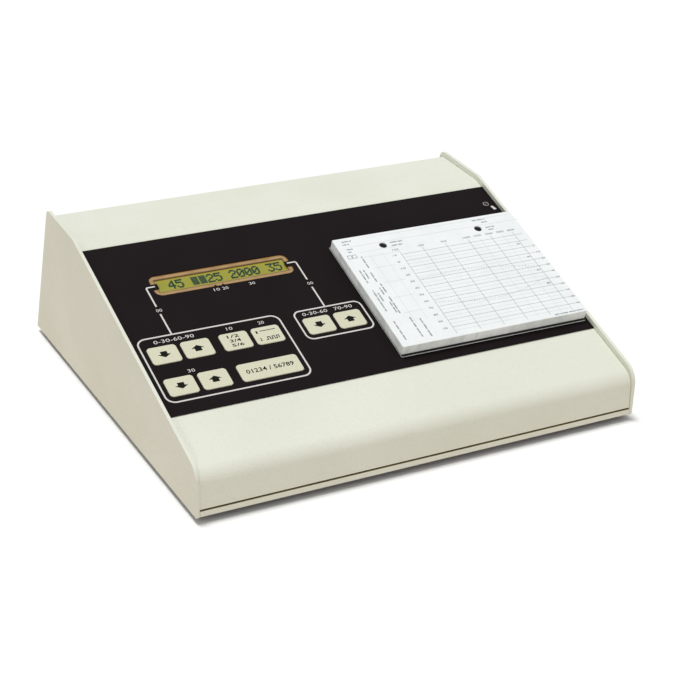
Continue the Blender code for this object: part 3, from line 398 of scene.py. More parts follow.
# %% Outlines in the plane
def arc(centre, radius, start, turn, steps):
    angles = [start + turn * i / steps for i in range(steps + 1)]
    return [centre + Vector((cos(a), sin(a))) * radius for a in angles]


def rectangle(width, height, radius=0.0, x=0.0, y=0.0, steps=8):
    """A rounded rectangle about a centre, anticlockwise from its lower left corner."""
    outline = []
    for i, (side, end) in enumerate(((-1, -1), (1, -1), (1, 1), (-1, 1))):
        corner = Vector((x + side * (width / 2 - radius), y + end * (height / 2 - radius)))
        outline += arc(corner, radius, pi + i * pi / 2, pi / 2, steps) if radius else [corner]
    return outline


def circle(diameter, x=0.0, y=0.0, steps=48):
    return arc(Vector((x, y)), diameter / 2, 0, 2 * pi * (steps - 1) / steps, steps - 1)


def flat(name, outlines, low, high, place=slope):
    """A plate with these outlines, from one level to another of a frame."""
    curve = bpy.data.curves.new(name, "CURVE")
    curve.dimensions = "2D"
    curve.fill_mode = "BOTH"
    curve.extrude = (high - low) / 2
    for outline in outlines:
        spline = curve.splines.new("POLY")
        spline.points.add(len(outline) - 1)
        spline.points.foreach_set("co", [c for p in outline for c in (p[0], p[1], 0, 1)])
        spline.use_cyclic_u = True
    piece = reworked(plain(bpy.data.objects.new(name, curve)), weld)
    piece.data.transform(place @ Matrix.Translation((0, 0, (low + high) / 2)))
    return piece


# %% Black film with a fine matt grain
def black_film():
    film = Finish("black_printed_film")
    grain = film.noise(1800, 2)
    cloud = film.noise(25, 2).stretched(0.35, 0.65)
    return film.surface(
        Base_Color=film.mix(cloud * 0.5 + grain * 0.3, (22, 17, 18), (28, 22, 24)),
        Roughness=0.5 + cloud * 0.06 + grain * 0.08,
        Specular_IOR_Level=0.03,
        Normal=film.bump(grain, 0.01 * mm),
    )


film_paint = black_film()

# %% Cut the film
slot_width, slot_height, slot_corner = 104.6 * mm, 20.4 * mm, 5.5 * mm
tab_reach, tab_low, tab_high = 4.4 * mm, -3.0 * mm, 1.9 * mm
notch_width, notch_height = 2.4 * mm, 1.6 * mm
display_x, display_y, _ = middle_in(slope, "display_frame")
notch_places = [-9.2 * mm, -3.5 * mm]


def window_outline():
    """The display's window, with its two tabs and two notches."""
    corners = rectangle(slot_width, slot_height, slot_corner)
    quarter = len(corners) // 4
    half = slot_width / 2
    notches = []
    for x in notch_places:
        for along, rise in ((-notch_width / 2, 0), (0, notch_height), (notch_width / 2, 0)):
            notches.append(Vector((x + along, rise - slot_height / 2)))
    inner = half - tab_reach
    right_tab = [(half, tab_low), (inner, tab_low), (inner, tab_high), (half, tab_high)]
    left_tab = [(-x, y) for x, y in reversed(right_tab)]
    outline = corners[:quarter] + notches + corners[quarter : 2 * quarter]
    outline += [Vector(p) for p in right_tab] + corners[2 * quarter :]
    outline += [Vector(p) for p in left_tab]
    return [p + Vector((display_x, display_y)) for p in outline]


key_flange, key_gap, key_corner = 1.2 * mm, 0.3 * mm, 2.6 * mm
key_stem, key_rounding = 6 * mm, 0.45 * mm
keys = {}
for name in (name for name in nodes if name.startswith("key_")):
    low, high = box_in(slope, name)
    keys[name] = ((low + high) / 2, high.x - low.x - 2 * key_flange, high.y - low.y - 2 * key_flange)
key_holes = [
    rectangle(width + 2 * key_gap, depth + 2 * key_gap, key_corner + key_gap, middle.x, middle.y)
    for middle, width, depth in keys.values()
]
pegs = {name: middle_in(slope, name) for name in ("pad_peg_left", "pad_peg_right")}
peg_diameter, lamp_hole = 5.2 * mm, 5.2 * mm
ring_low, ring_high = box_in(slope, "power_indicator_ring")
ring_middle = middle_in(slope, "power_indicator_ring")
overlay_middle = (overlay_low + overlay_high) / 2
overlay_size = overlay_high - overlay_low
overlay = flat(
    "printed_film",
    [
        rectangle(overlay_size.x, overlay_size.y, 0.6 * mm, overlay_middle.x, overlay_middle.y),
        window_outline(),
        circle(lamp_hole, ring_middle.x, ring_middle.y),
    ]
    + key_holes
    + [circle(peg_diameter + 2 * key_gap, peg.x, peg.y) for peg in pegs.values()],
    overlay_low.z,
    overlay_high.z,
)
fix(overlay, "case", film_paint, "black_film", "keypad_overlay")

# %% [markdown]
# ## White ink
# The print groups the keys in boxes and ties each group to its end of the display with a line. Screen
# ink stands a few hundredths of a millimetre proud and has crisp edges, so it is made as thin plates
# and isn't a pattern in the film. The labels are plain numbers, cut from the outlines of a font.

# %% Lines and lettering
ink_height, ink_sink = 0.05 * mm, 0.01 * mm


def spots(*pairs):
    return [Vector((x * mm, y * mm)) for x, y in pairs]


def stroke(points, width):
    """The outline of a line of even width through some points, with mitred corners."""
    runs = [(b - a).normalized() for a, b in zip(points, points[1:])]
    sides = [Vector((-run.y, run.x)) for run in runs]
    joints = [(a + b) / (1 + a.dot(b)) for a, b in zip(sides, sides[1:])]
    turns = [sides[0], *joints, sides[-1]]
    left = [p + t * width / 2 for p, t in zip(points, turns)]
    right = [p - t * width / 2 for p, t in zip(points, turns)]
    return left + right[::-1]


def framed(low, high, radius, width):
    """Two outlines that leave a rounded frame between them."""
    middle, size = (low + high) / 2, high - low
    return [
        rectangle(size.x + grown, size.y + grown, radius + grown / 2, middle.x, middle.y)
        for grown in (width, -width)
    ]


def lettering(name, labels, level, place=slope, bold=0.0):
    """Labels as one thin mesh. Each has its text, its middle, its width, its height and its turn."""
    joined = bmesh.new()
    for words, x, y, width, height, turn in labels:
        letters = bpy.data.curves.new(name, "FONT")
        letters.body = words
        letters.resolution_u = 2
        letters.extrude = 0.5
        letters.offset = bold
        letters.align_x = "CENTER"
        one = plain(bpy.data.objects.new(name, letters))
        corners = [Vector(c) for c in one.bound_box]
        low, high = corners[0], corners[6]
        size = high - low
        fitted = Matrix.Diagonal((width * mm / size.x, height * mm / size.y, ink_height / size.z, 1))
        centred = Matrix.Translation(-(low + high) / 2)
        turned = Matrix.Rotation(radians(turn), 4, "Z")
        put = at(place, x * mm, y * mm, level + ink_height / 2 - ink_sink)
        one.data.transform(put @ turned @ fitted @ centred)
        joined.from_mesh(one.data)
        bpy.data.objects.remove(one)
    print(name, len(labels), "labels")
    return piece_of(name, joined)


def inked(name, outlines, level, place=slope):
    return flat(name, outlines, level - ink_sink, level + ink_height - ink_sink, place)


# %% Screen inks
def screen_ink(name, tone, worn, roughness):
    """Ink laid through a mesh: nearly even, with faint pinholes and thin places."""
    ink = Finish(name)
    thin = ink.noise(1500, 3)
    return ink.surface(
        Base_Color=ink.mix(thin.stretched(0.45, 0.75) * 0.5, tone, worn),
        Roughness=roughness + thin * 0.1,
        Specular_IOR_Level=0.08,
        Normal=ink.bump(thin, 0.01 * mm),
    )


white_ink = screen_ink("white_screen_ink", (218, 215, 211), (190, 187, 182), 0.45)
black_ink = screen_ink("black_screen_ink", (8, 8, 3), (24, 24, 16), 0.6)

# %% Print the boxes and the tie lines
def print_white(piece):
    fix(piece, "case", white_ink, "white_card")


line_width = 1.15 * mm
tone_box = spots((-158.0, 62.0), (-55.5, 121.6))
mask_box = spots((-44.3, 92.7), (6.9, 120.6))
tone_tie = spots((-125.8, 169.0), (-131.4, 169.0), (-132.3, 168.1), (-132.3, 149.6))
tone_tie_end = spots((-132.3, 142.2), (-132.3, 121.6))
mask_tie = spots((-25.9, 169.4), (-19.9, 169.4), (-19.1, 168.6), (-19.1, 149.8))
mask_tie_end = spots((-19.1, 141.8), (-19.1, 120.6))
ties = [stroke(run, line_width) for run in (tone_tie, tone_tie_end, mask_tie, mask_tie_end)]
print_white(inked("key_group_ties", ties, overlay_top))
for name, corners, radius in (("tone", tone_box, 6.2 * mm), ("mask", mask_box, 5 * mm)):
    print_white(inked(name + "_group_box", framed(*corners, radius, line_width), overlay_top))

# %% Print the numbers
panel_labels = [
    ("00", -131.8, 145.7, 4.2, 2.8, 0),
    ("00", -18.6, 145.7, 4.2, 2.8, 0),
    ("10", -85.4, 155.8, 4.4, 2.7, 0),
    ("20", -79.0, 155.8, 4.4, 2.7, 0),
    ("30", -58.8, 155.8, 4.4, 2.6, 0),
    ("0-30-60-90", -132.7, 117.0, 28.6, 3.2, 0),
    ("30", -132.6, 86.4, 5.0, 2.8, 0),
    ("10", -92.7, 117.0, 4.4, 2.8, 0),
    ("20", -69.4, 117.0, 4.4, 2.8, 0),
    ("0-30-60", -28.7, 116.8, 19.0, 3.1, 0),
    ("70-90", -7.0, 116.8, 14.0, 3.1, 0),
]
print_white(lettering("panel_numbers", panel_labels, overlay_top))
mark = spots((156.5, 192.3), (158.5, 192.6), (160.0, 188.4), (157.5, 187.9))
print_white(inked("power_mark", [mark], overlay_top))

# %% [markdown]
# ## The keys
# Each key is a moulded cap that fills its hole in the film, with a flange below that keeps it in and a
# stem that presses a metal dome. Such a form is a pile of outlines, each at its own level, so a loft
# makes it: rings of points joined by faces, closed at both ends. The round pieces use the same helper.

# %% Loft rings of points
def lofted(name, rings, place=slope, ring_shaped=False):
    """A closed piece through outlines at rising levels. A ring-shaped one ends where it starts."""
    shape = bmesh.new()
    loops = [[shape.verts.new((p[0], p[1], level)) for p in outline] for outline, level in rings]
    pairs = list(zip(loops, loops[1:] + loops[:1] if ring_shaped else loops[1:]))
    for below, above in pairs:
        for i in range(len(below)):
            shape.faces.new((below[i - 1], below[i], above[i], above[i - 1]))
    if not ring_shaped:
        shape.faces.new(loops[0][::-1])
        shape.faces.new(loops[-1])
    bmesh.ops.recalc_face_normals(shape, faces=shape.faces)
    piece = piece_of(name, shape)
    piece.data.transform(place)
    return piece


def joined(name, *pieces):
    """Several pieces as one object."""
    shape = bmesh.new()
    for piece in pieces:
        shape.from_mesh(piece.data)
        bpy.data.objects.remove(piece)
    return piece_of(name, shape)


def quarter_turn(steps):
    """How far a rounded edge draws in, and how far it is below its top, as shares of its radius."""
    return [(1 - cos(a), 1 - sin(a)) for a in (pi / 2 * i / steps for i in range(steps + 1))]


def rounded_top(width, depth, corner, top, radius):
    """The rings that round a cap's upper edge."""
    insets = [(radius * inwards, top - radius * down) for inwards, down in quarter_turn(4)]
    return [
        (rectangle(width - 2 * inset, depth - 2 * inset, corner - inset), level)
        for inset, level in insets
    ]


# %% Key plastic
def key_plastic():
    """Light plastic from a spark-etched mould: an even colour with a fine dull grain."""
    plastic = Finish("key_cap_plastic")
    grain = plastic.noise(1300, 3)
    fine = plastic.noise(3400, 1)
    pale = plastic.mix(grain.stretched(0.3, 0.7), (216, 215, 191), (204, 201, 177))
    return plastic.surface(
        Base_Color=plastic.mix(fine.stretched(0.6, 0.72) * 0.5, pale, (180, 176, 152)),
        Roughness=0.5 + grain * 0.15,
        Specular_IOR_Level=0.35,
        Normal=plastic.bump(grain + fine * 0.5, 0.03 * mm),
    )


cap_plastic = key_plastic()

# %% Mould the nine caps
for name, (middle, width, depth) in keys.items():
    low, high = box_in(slope, name)
    lip_low, lip_high = low.z + 1.2 * mm, low.z + 2.0 * mm
    put = at(slope, middle.x, middle.y)
    wide = rectangle(width + 2 * key_flange, depth + 2 * key_flange, key_corner)
    tight = rectangle(width, depth, key_corner)
    rings = [(wide, lip_low), (wide, lip_high), (tight, lip_high)]
    rings += rounded_top(width, depth, key_corner, high.z, key_rounding)
    cap = lofted(name + "_body", rings, put)
    post = flat(name + "_stem", [circle(key_stem, middle.x, middle.y)], low.z, lip_low)
    cap = joined("cap_" + name[4:], cap, post)
    fix(cap, name[4:], cap_plastic, "key_plastic", name)

# %% [markdown]
# The marks on the caps are printed too. Up and down arrows choose a level or a pitch. One cap shows
# three choices, one shows a steady and a pulsed tone as a line and a square wave, and the wide one is
# held down to play the tone. Each mark rides on its own key, so it sinks with it.

# %% Print the marks on the caps
arrow_wide, arrow_tall, shaft_wide, head_tall = 9.3, 5.6, 4.7, 2.9


def arrow(points_up):
    """A short house-shaped arrow about the origin, in millimetres."""
    tall, head, shaft, wing = arrow_tall / 2, arrow_tall / 2 - head_tall, shaft_wide / 2, arrow_wide / 2
    right = [(shaft, -tall), (shaft, head), (wing, head), (0, tall)]
    shape = right + [(-x, y) for x, y in reversed(right[:-1])]
    return spots(*[(x, y if points_up else -y) for x, y in shape])


def square_wave(x, y, pitch, height, count):
    points = [(x, y)]
    for i in range(count):
        middle, right = x + i * pitch + pitch / 2, x + i * pitch + pitch
        points += [(middle, y), (middle, y + height), (right, y + height), (right, y)]
    return stroke(spots(*points), 0.62 * mm)


bolder = 0.014
cap_marks = {
    "ear": [
        ("1/2", -0.5, 4.4, 8.6, 2.8, 0), ("3/4", -0.3, 0.2, 8.0, 2.8, 0), ("5/6", 0, -4.0, 8.6, 2.8, 0),
    ],
    "pulse": [("1", -6.9, 3.6, 1.2, 2.5, 0), ("2", -6.6, -3.6, 1.8, 2.5, 0)],
    "present": [("01234 / 56789", 0, 0.1, 34.4, 3.8, 0)],
}
steady_and_pulsed = [
    stroke(spots((-4.6, 4.2), (7.0, 4.2)), 0.6 * mm),
    square_wave(-3.2, -4.8, 3.3, 2.6, 3),
]
for name, (middle, _, _) in keys.items():
    body = name[4:]
    top = box_in(slope, name)[1].z
    put = at(slope, middle.x, middle.y)
    if body in cap_marks:
        mark = lettering("figures_" + body, cap_marks[body], top, put, bolder)
    else:
        mark = inked("arrow_" + body, [arrow(body.endswith("up"))], top, put)
    fix(mark, body, black_ink, "black_film")
    if body == "pulse":
        fix(inked("wave_" + body, steady_and_pulsed, top, put), body, black_ink, "black_film")

# %% [markdown]
# ## The display
# A character display is a sandwich of glass behind a bent metal frame, lit from behind in yellow-green.
# Each character is a block of five by seven dots, and this window holds sixteen of them. Such letters
# follow a rule, so Geometry Nodes make them: the lit dots are bare points, and the tree puts one small
# plate on each. The class below builds such a tree, names its inputs and bakes the result.

# %% Geometry Nodes from plain calls
class Recipe:
    """A Geometry Nodes tree that is being made. It ends by setting one shape down on its points."""

    kinds = {"size": "NodeSocketFloat", "count": "NodeSocketInt", "piece": "NodeSocketObject"}

    def __init__(self, name):
        self.tree = bpy.data.node_groups.new(name, "GeometryNodeTree")
        self.start = self.tree.nodes.new("NodeGroupInput")
        self.end = self.tree.nodes.new("NodeGroupOutput")
        for way in ("INPUT", "OUTPUT"):
            self.tree.interface.new_socket("Geometry", in_out=way, socket_type="NodeSocketGeometry")

    def wanted(self, name, kind="size"):
        """A named input of the tree."""
        self.tree.interface.new_socket(name, in_out="INPUT", socket_type=self.kinds[kind])
        return self.start.outputs[name]

    def step(self, kind, values, result=0, **settings):
        return wire(self.tree, kind, values, settings, result)

    def vector(self, **parts):
        return self.step("ShaderNodeCombineXYZ", parts)

    def cube(self, *names):
        """A box whose three sizes are named inputs."""
        size = self.vector(**{axis: self.wanted(name) for axis, name in zip("XYZ", names)})
        return self.step("GeometryNodeMeshCube", {"Size": size})

    def shape_of(self, name):
        """The mesh of a piece that is a named input."""
        return self.step("GeometryNodeObjectInfo", {"Object": self.wanted(name, "piece")}, "Geometry")

    def finished(self, points, shape, material, **more):
        """Sets a shape down on every point, and paints the copies."""
        entries = {"Points": points, "Instance": shape, **more}
        copies = self.step("GeometryNodeInstanceOnPoints", entries)
        realized = self.step("GeometryNodeRealizeInstances", {0: copies})
        painted = self.step("GeometryNodeSetMaterial", {0: realized, "Material": material})
        self.tree.links.new(painted, self.end.inputs[0])

    def grown(self, name, mesh, sizes, place=slope):
        """Runs the tree on a mesh with these sizes, and gives the plain result in a frame."""
        carrier = new_piece(name, mesh)
        growth = carrier.modifiers.new(name, "NODES")
        growth.node_group = self.tree
        for item in self.tree.interface.items_tree:
            if item.name in sizes:
                growth[item.identifier] = sizes[item.name]
        piece = plain(carrier)
        piece.data.transform(place)
        print(name, "grew", len(piece.data.polygons), "faces")
        return piece


def points_mesh(name, points):
    mesh = bpy.data.meshes.new(name)
    mesh.from_pydata(points, [], [])
    return mesh


# %% Finishes of the display
window_width, window_height = 97.0 * mm, 12.6 * mm


def lit_glass():
    """Backlit liquid crystal: yellow-green, brighter in the middle, warmer towards the frame."""
    glass = Finish("display_glass")
    rise = glass.along(slope_up) - (slope.translation.dot(slope_up) + display_y)
    off_middle = rise.maths("ABSOLUTE", rise).stretched(0.0, 7.0 * mm)
    cloud = glass.noise(60, 3)
    lit = glass.mix(cloud.stretched(0.3, 0.7) * 0.5, (149, 147, 56), (134, 135, 47))
    warm = glass.mix(off_middle * off_middle * 0.8, lit, (166, 146, 58))
    return glass.surface(
        Base_Color=warm,
        Roughness=0.25 + cloud * 0.1,
        Specular_IOR_Level=0.2,
        Emission_Color=warm,
        Emission_Strength=0.05,
    )


def tan_paint():
    """Thin tan paint on a pressed frame, cloudy in tone, with painted shade towards its rounded outer
    rim and a painted shadow of the recess beside the window.
    """
    paint = Finish("display_frame_paint")
    rise = paint.along(slope_up) - (slope.translation.dot(slope_up) + display_y)
    run = paint.along(across) - display_x
    above_window = rise.maths("ABSOLUTE", rise) - window_height / 2
    beside_window = run.maths("ABSOLUTE", run) - window_width / 2
    out = rise.maths("MAXIMUM", above_window, beside_window)
    cloud = paint.noise(120, 3)
    grain = paint.noise(1600, 2)
    worn = paint.mix(cloud.stretched(0.4, 0.65), (166, 134, 85), (150, 116, 68))
    # Painted shade darkens the band at the frame's outer rim, and a painted shadow of the recess darkens
    # the band next to the window.
    rim_painted_shade = paint.mix(out.stretched(2.6 * mm, 3.6 * mm) * 0.7, worn, (130, 84, 42))
    window_painted_shadow = paint.mix(out.stretched(1.2 * mm, 0.4 * mm) * 0.8, rim_painted_shade, (84, 56, 32))
    return paint.surface(
        Base_Color=paint.mix(grain.stretched(0.6, 0.8) * 0.4, window_painted_shadow, (132, 98, 60)),
        Roughness=0.38 + cloud * 0.15,
        Metallic=0.15,
        Normal=paint.bump(grain, 0.015 * mm),
    )


def dot_ink():
    dots = Finish("display_dots")
    shade = dots.noise(800, 2)
    return dots.surface(
        Base_Color=dots.mix(shade, (2, 46, 32), (8, 64, 44)),
        Roughness=0.3 + shade * 0.1,
        Specular_IOR_Level=0.2,
    )


dot_level = box_in(slope, "display_glass")[1].z + 0.02 * mm
for name, piece_name, radius, finish, slot in (
    ("display_frame", "pressed_frame", 0.35 * mm, tan_paint(), "brass_plate"),
    ("display_glass", "glass_cell", 0.15 * mm, lit_glass(), "display_green"),
):
    fix(copy_of(name, piece_name, radius), "case", finish, slot, name)

# %% Light the dots
glyphs = {
    "0": "01110 10001 10011 10101 11001 10001 01110",
    "2": "01110 10001 00001 00110 01000 10000 11111",
    "3": "11111 00010 00100 00010 00001 10001 01110",
    "4": "00010 00110 01010 10010 11111 00010 00010",
    "5": "11111 10000 11110 00001 00001 10001 01110",
    "#": "11111 11111 11111 11111 11111 11111 11111",
}
shown = " 45 ##25 2000 35"
cell_pitch, dot_across, dot_up = 5.73 * mm, 1.0 * mm, 1.2 * mm
dots, block_dots = [], []
for place_number, letter in enumerate(shown):
    cell_x = display_x - 0.15 * mm + (place_number - (len(shown) - 1) / 2) * cell_pitch
    for row, line in enumerate(glyphs.get(letter, "").split()):
        for column, lit in enumerate(line):
            if lit == "1":
                dot_x, dot_y = cell_x + (column - 2) * dot_across, display_y + (3 - row) * dot_up
                (block_dots if letter == "#" else dots).append((dot_x, dot_y, dot_level))

dot_recipe = Recipe("dot_on_each_point")
dot = dot_recipe.cube("Dot width", "Dot height", "Dot depth")
dot_recipe.finished(dot_recipe.start.outputs[0], dot, dot_ink())
for name, spread, places in (
    ("display_characters", 0.3 * mm, dots), ("display_blocks", -0.12 * mm, block_dots),
):
    dot_sizes = {"Dot width": dot_across + spread, "Dot height": dot_up + spread, "Dot depth": 0.06 * mm}
    fix(dot_recipe.grown(name, points_mesh(name, places), dot_sizes), "case", None, "display_green")

# %% [markdown]
# ## The power lamp
# A small dark lens sits in a plated collar at the top right. Round pieces are turned: a half profile is
# swept round an axis. Here each corner of the profile becomes one ring of the loft.

# %% Turn round pieces
def turned(name, profile, x, y, place=slope, steps=48, ring_shaped=False):
    """A round piece about a point, from (diameter, level) pairs."""
    rings = [(circle(diameter, x, y, steps), level) for diameter, level in profile]
    return lofted(name, rings, place, ring_shaped)


def metal(name, tone, roughness, brush=1.0, grain=900):
    """Plated or bare metal, with fine scratches and cloudy tarnish."""
    plate = Finish(name)
    cloud = plate.noise(90, 3)
    scratch = plate.noise(grain, 2, (1, 1, brush))
    dull = tuple(level * 0.82 for level in tone)
    return plate.surface(
        Base_Color=plate.mix(cloud.stretched(0.4, 0.7) * 0.6, tone, dull),
        Metallic=0.9,
        Roughness=roughness + cloud * 0.12 + scratch * 0.08,
        Normal=plate.bump(scratch, 0.006 * mm),
    )


def moulded(name, tone, roughness, specular=0.4):
    """Injection-moulded plastic or rubber with a faint texture."""
    body = Finish(name)
    cloud = body.noise(45, 2)
    skin = body.noise(1700, 2)
    pale = tuple(min(255, level * 1.18 + 3) for level in tone)
    return body.surface(
        Base_Color=body.mix(cloud.stretched(0.35, 0.7) * 0.7, tone, pale),
        Roughness=roughness + skin * 0.12,
        Specular_IOR_Level=specular,
        Normal=body.bump(skin, 0.015 * mm),
    )


nickel = metal("bright_nickel", (196, 194, 188), 0.22)
zinc = metal("plated_zinc", (170, 172, 170), 0.32)
black_plastic = moulded("black_plastic", (34, 34, 36), 0.38)
rubber = moulded("foot_rubber", (38, 38, 40), 0.7, 0.25)
lamp_lens = moulded("smoked_lens", (46, 26, 32), 0.12)
grey_collar = metal("lamp_collar", (122, 114, 118), 0.4)

collar_wide, collar_bore = 5.0 * mm, 3.2 * mm
tube_wide, tube_bore = 4.6 * mm, 4.0 * mm
seat = overlay_top + 0.3 * mm
collar_profile = [
    (tube_bore, ring_low.z), (tube_wide, ring_low.z), (tube_wide, seat), (collar_wide, seat),
    (collar_wide, ring_high.z - 0.25 * mm),
    (collar_wide - 0.4 * mm, ring_high.z - 0.05 * mm),
    (collar_wide - 1.1 * mm, ring_high.z),
    (collar_bore, ring_high.z - 0.15 * mm),
    (collar_bore, seat), (tube_bore, seat - 0.3 * mm),
]
collar = turned("lamp_collar", collar_profile, ring_middle.x, ring_middle.y, ring_shaped=True)
fix(collar, "case", grey_collar, "steel", "power_indicator_ring")
lens_low, lens_high = box_in(slope, "power_indicator")
dome, lens_foot = 1.5 * mm, seat - 0.6 * mm
lens_profile = [(3.8 * mm, lens_low.z), (3.8 * mm, lens_foot), (2 * dome, lens_foot)]
lens_profile += [
    (2 * dome * (1 - inwards), lens_high.z - dome * down) for inwards, down in quarter_turn(8)[:-1]
]
lens_profile.append((0.1 * mm, lens_high.z))
lens = turned("lamp_lens", lens_profile, ring_middle.x, ring_middle.y)
fix(lens, "case", lamp_lens, "lens", "power_indicator")

# %% [markdown]
# ## The pad of charts
# A pad is a stack of sheets that never quite line up. Its edge shows fine lines and grey-green patches
# where the sheets lie closer or looser. One sheet is cut with its two peg holes, and a Geometry Nodes
# tree repeats it on a line of points. Each copy drifts a little sideways, from a fixed seed.

# %% Paper and card
def paper(name, tone, shade, streaks):
    """Uncoated paper. Streaks run across the edges of the stack and are faint on the face."""
    stock = Finish(name)
    fibre = stock.noise(700, 4)
    patch = stock.noise(55, 3, (1, 1, 0.35))
    streak = stock.noise(240, 2, (1, 1, 0.12))
    mottled = stock.mix(patch.stretched(0.4, 0.62) * streaks, tone, shade)
    return stock.surface(
        Base_Color=stock.mix(streak.stretched(0.5, 0.68) * streaks * 0.7, mottled, shade),
        Roughness=0.75 + fibre * 0.15,
        Specular_IOR_Level=0.2,
        Normal=stock.bump(fibre, 0.02 * mm),
    )


sheet_paper = paper("chart_paper", (237, 240, 241), (225, 229, 232), 0.3)
edge_paper = paper("stacked_paper_edges", (244, 246, 246), (212, 217, 214), 0.8)
loose_card = paper("loose_white_card", (228, 230, 228), (204, 208, 206), 0.4)
# The dark board's tone is partly its own grey chipboard and partly painted shade in the gap under the
# stack.
dark_board = paper("dark_backing_board", (50, 50, 48), (36, 36, 36), 0.6)

# %% Cut one sheet and stack it
pad_width, pad_length, pad_corner = 149.9 * mm, 114.2 * mm, 1.0 * mm
pad_turn, peg_hole = radians(-0.4), 6.0 * mm
card_low, card_high = box_in(slope, "pad_card")
pad_middle = middle_in(slope, "pad_card").to_2d()
pad_low, pad_high = box_in(slope, "chart_pad")


def pad_outlines(side=0.0, end=0.0):
    """A sheet's outline, a little askew, grown at its sides and ends, and its two holes."""
    askew = Matrix.Rotation(pad_turn, 2)
    edge = rectangle(pad_width + 2 * side, pad_length + 2 * end, pad_corner, steps=3)
    holes = [circle(peg_hole, peg.x, peg.y, 24) for peg in pegs.values()]
    return [[askew @ p + pad_middle for p in edge], *holes]


def board(name, grown, low, high, stock, slot, *solids):
    """A board of the pad's outline, grown at its sides and ends, between two levels."""
    plate = softened(flat(name, pad_outlines(*grown), low, high), 0.12 * mm)
    return fix(plate, "pad", stock, slot, *solids)


card_grown, backing_grown = (0.05 * mm, 1.7 * mm), (-0.4 * mm, -0.4 * mm)
backing_low, backing_high = [corner.z for corner in box_in(slope, "pad_backing")]
dark_top = backing_low + 0.2 * mm
card = board("white_card", card_grown, card_low.z, card_high.z, loose_card, "white_card", "pad_card")
backing = board(
    "backing_board", backing_grown, backing_low, dark_top, dark_board, "dark_board", "pad_backing"
)
board("lowest_sheets", (0, 0), dark_top, backing_high, edge_paper, "paper")
# The card's top takes the dark board's tone as a painted shadow under the stack. The board's left faces
# take the light paper tone, so its dark painted shade shows only at the front, where the shadow falls.
refinish(card, dark_board, lambda spot, out: out.dot(slope_out) > 0.9)
refinish(backing, edge_paper, lambda spot, out: out.x < -0.5)

sheet_pitch, sheet_thickness, drift = 0.2 * mm, 0.18 * mm, 0.1 * mm
stack_height = pad_high.z - pad_low.z
sheet_count = int(stack_height / sheet_pitch) - 1
one_sheet = flat("one_sheet", pad_outlines(), 0, sheet_thickness, Matrix())

stack_recipe = Recipe("stack_of_sheets")
pile_step = stack_recipe.vector(Z=stack_recipe.wanted("Pitch"))
pile_count = stack_recipe.wanted("Sheets", "count")
pile = stack_recipe.step("GeometryNodeMeshLine", {"Count": pile_count, "Offset": pile_step})
drift_size, drift_seed = stack_recipe.wanted("Drift"), stack_recipe.wanted("Seed", "count")
drift_back = stack_recipe.step("ShaderNodeMath", {0: drift_size, 1: -1.0}, operation="MULTIPLY")
sheet_number = stack_recipe.step("GeometryNodeInputIndex", {})
other_number = stack_recipe.step("ShaderNodeMath", {0: sheet_number, 1: 1000.0}, operation="ADD")
wander = {}
for axis, number in (("X", sheet_number), ("Y", other_number)):
    limits = {2: drift_back, 3: drift_size, "ID": number, "Seed": drift_seed}
    wander[axis] = stack_recipe.step("FunctionNodeRandomValue", limits, 1, data_type="FLOAT")
moves = {"Geometry": pile, "Offset": stack_recipe.vector(**wander)}
uneven_pile = stack_recipe.step("GeometryNodeSetPosition", moves)
stack_recipe.finished(uneven_pile, stack_recipe.shape_of("Sheet"), edge_paper)
stack_sizes = {
    "Sheets": sheet_count, "Pitch": sheet_pitch, "Drift": drift, "Seed": 7, "Sheet": one_sheet,
}
stack_start = points_mesh("sheet_stack", [(0, 0, 0)])
stack = stack_recipe.grown("sheet_stack", stack_start, stack_sizes, at(slope, 0, 0, pad_low.z))
bpy.data.objects.remove(one_sheet)
fix(stack, "pad", None, "paper", "chart_pad")
top_sheet = flat("top_sheet", pad_outlines(), pad_high.z - 0.17 * mm, pad_high.z)
fix(softened(top_sheet, 0.05 * mm), "pad", sheet_paper, "paper")

# %% [markdown]
# ## The chart on the top sheet
# The form is a graph: pitch runs across in octaves and loudness runs down in steps of ten. Its ruled
# lines are another job for Geometry Nodes, because they are one thin bar repeated at an even pitch. The
# scales hold plain numbers, and the small print is rows of short grey marks.

# %% Rule the lines
chart_ink = screen_ink("grey_chart_ink", (160, 168, 172), (198, 205, 209), 0.7)
faint_ink = screen_ink("faint_chart_ink", (200, 208, 216), (224, 230, 236), 0.7)
figure_ink = screen_ink("grey_figure_ink", (78, 84, 92), (126, 132, 140), 0.7)
pad_top = pad_high.z
put_chart = at(slope, *pad_middle) @ Matrix.Rotation(pad_turn, 4, "Z")
put_chart = at(put_chart, *-pad_middle)

rule_recipe = Recipe("evenly_ruled_lines")
bar = rule_recipe.cube("Across", "Along", "Ink height")
rule_starts, rule_steps = [
    rule_recipe.vector(X=rule_recipe.wanted(word + " across"), Y=rule_recipe.wanted(word + " along"))
    for word in ("First", "Step")
]
rule_spread = {
    "Count": rule_recipe.wanted("Lines", "count"), "Start Location": rule_starts, "Offset": rule_steps,
}
rule_recipe.finished(rule_recipe.step("GeometryNodeMeshLine", rule_spread), bar, chart_ink)


def ruled(x, y, width, height, count, step_x, step_y):
    """Some equal bars from a first middle, one step apart, in millimetres."""
    lengths = {
        "Across": width, "Along": height, "Step across": step_x, "Step along": step_y,
        "First across": x, "First along": y,
    }
    sizes = {key: length * mm for key, length in lengths.items()}
    sizes |= {"Ink height": ink_height, "Lines": count}
    put = at(put_chart, 0, 0, pad_top + ink_height / 2 - ink_sink)
    return rule_recipe.grown("lines", points_mesh("lines", [(0, 0, 0)]), sizes, put)


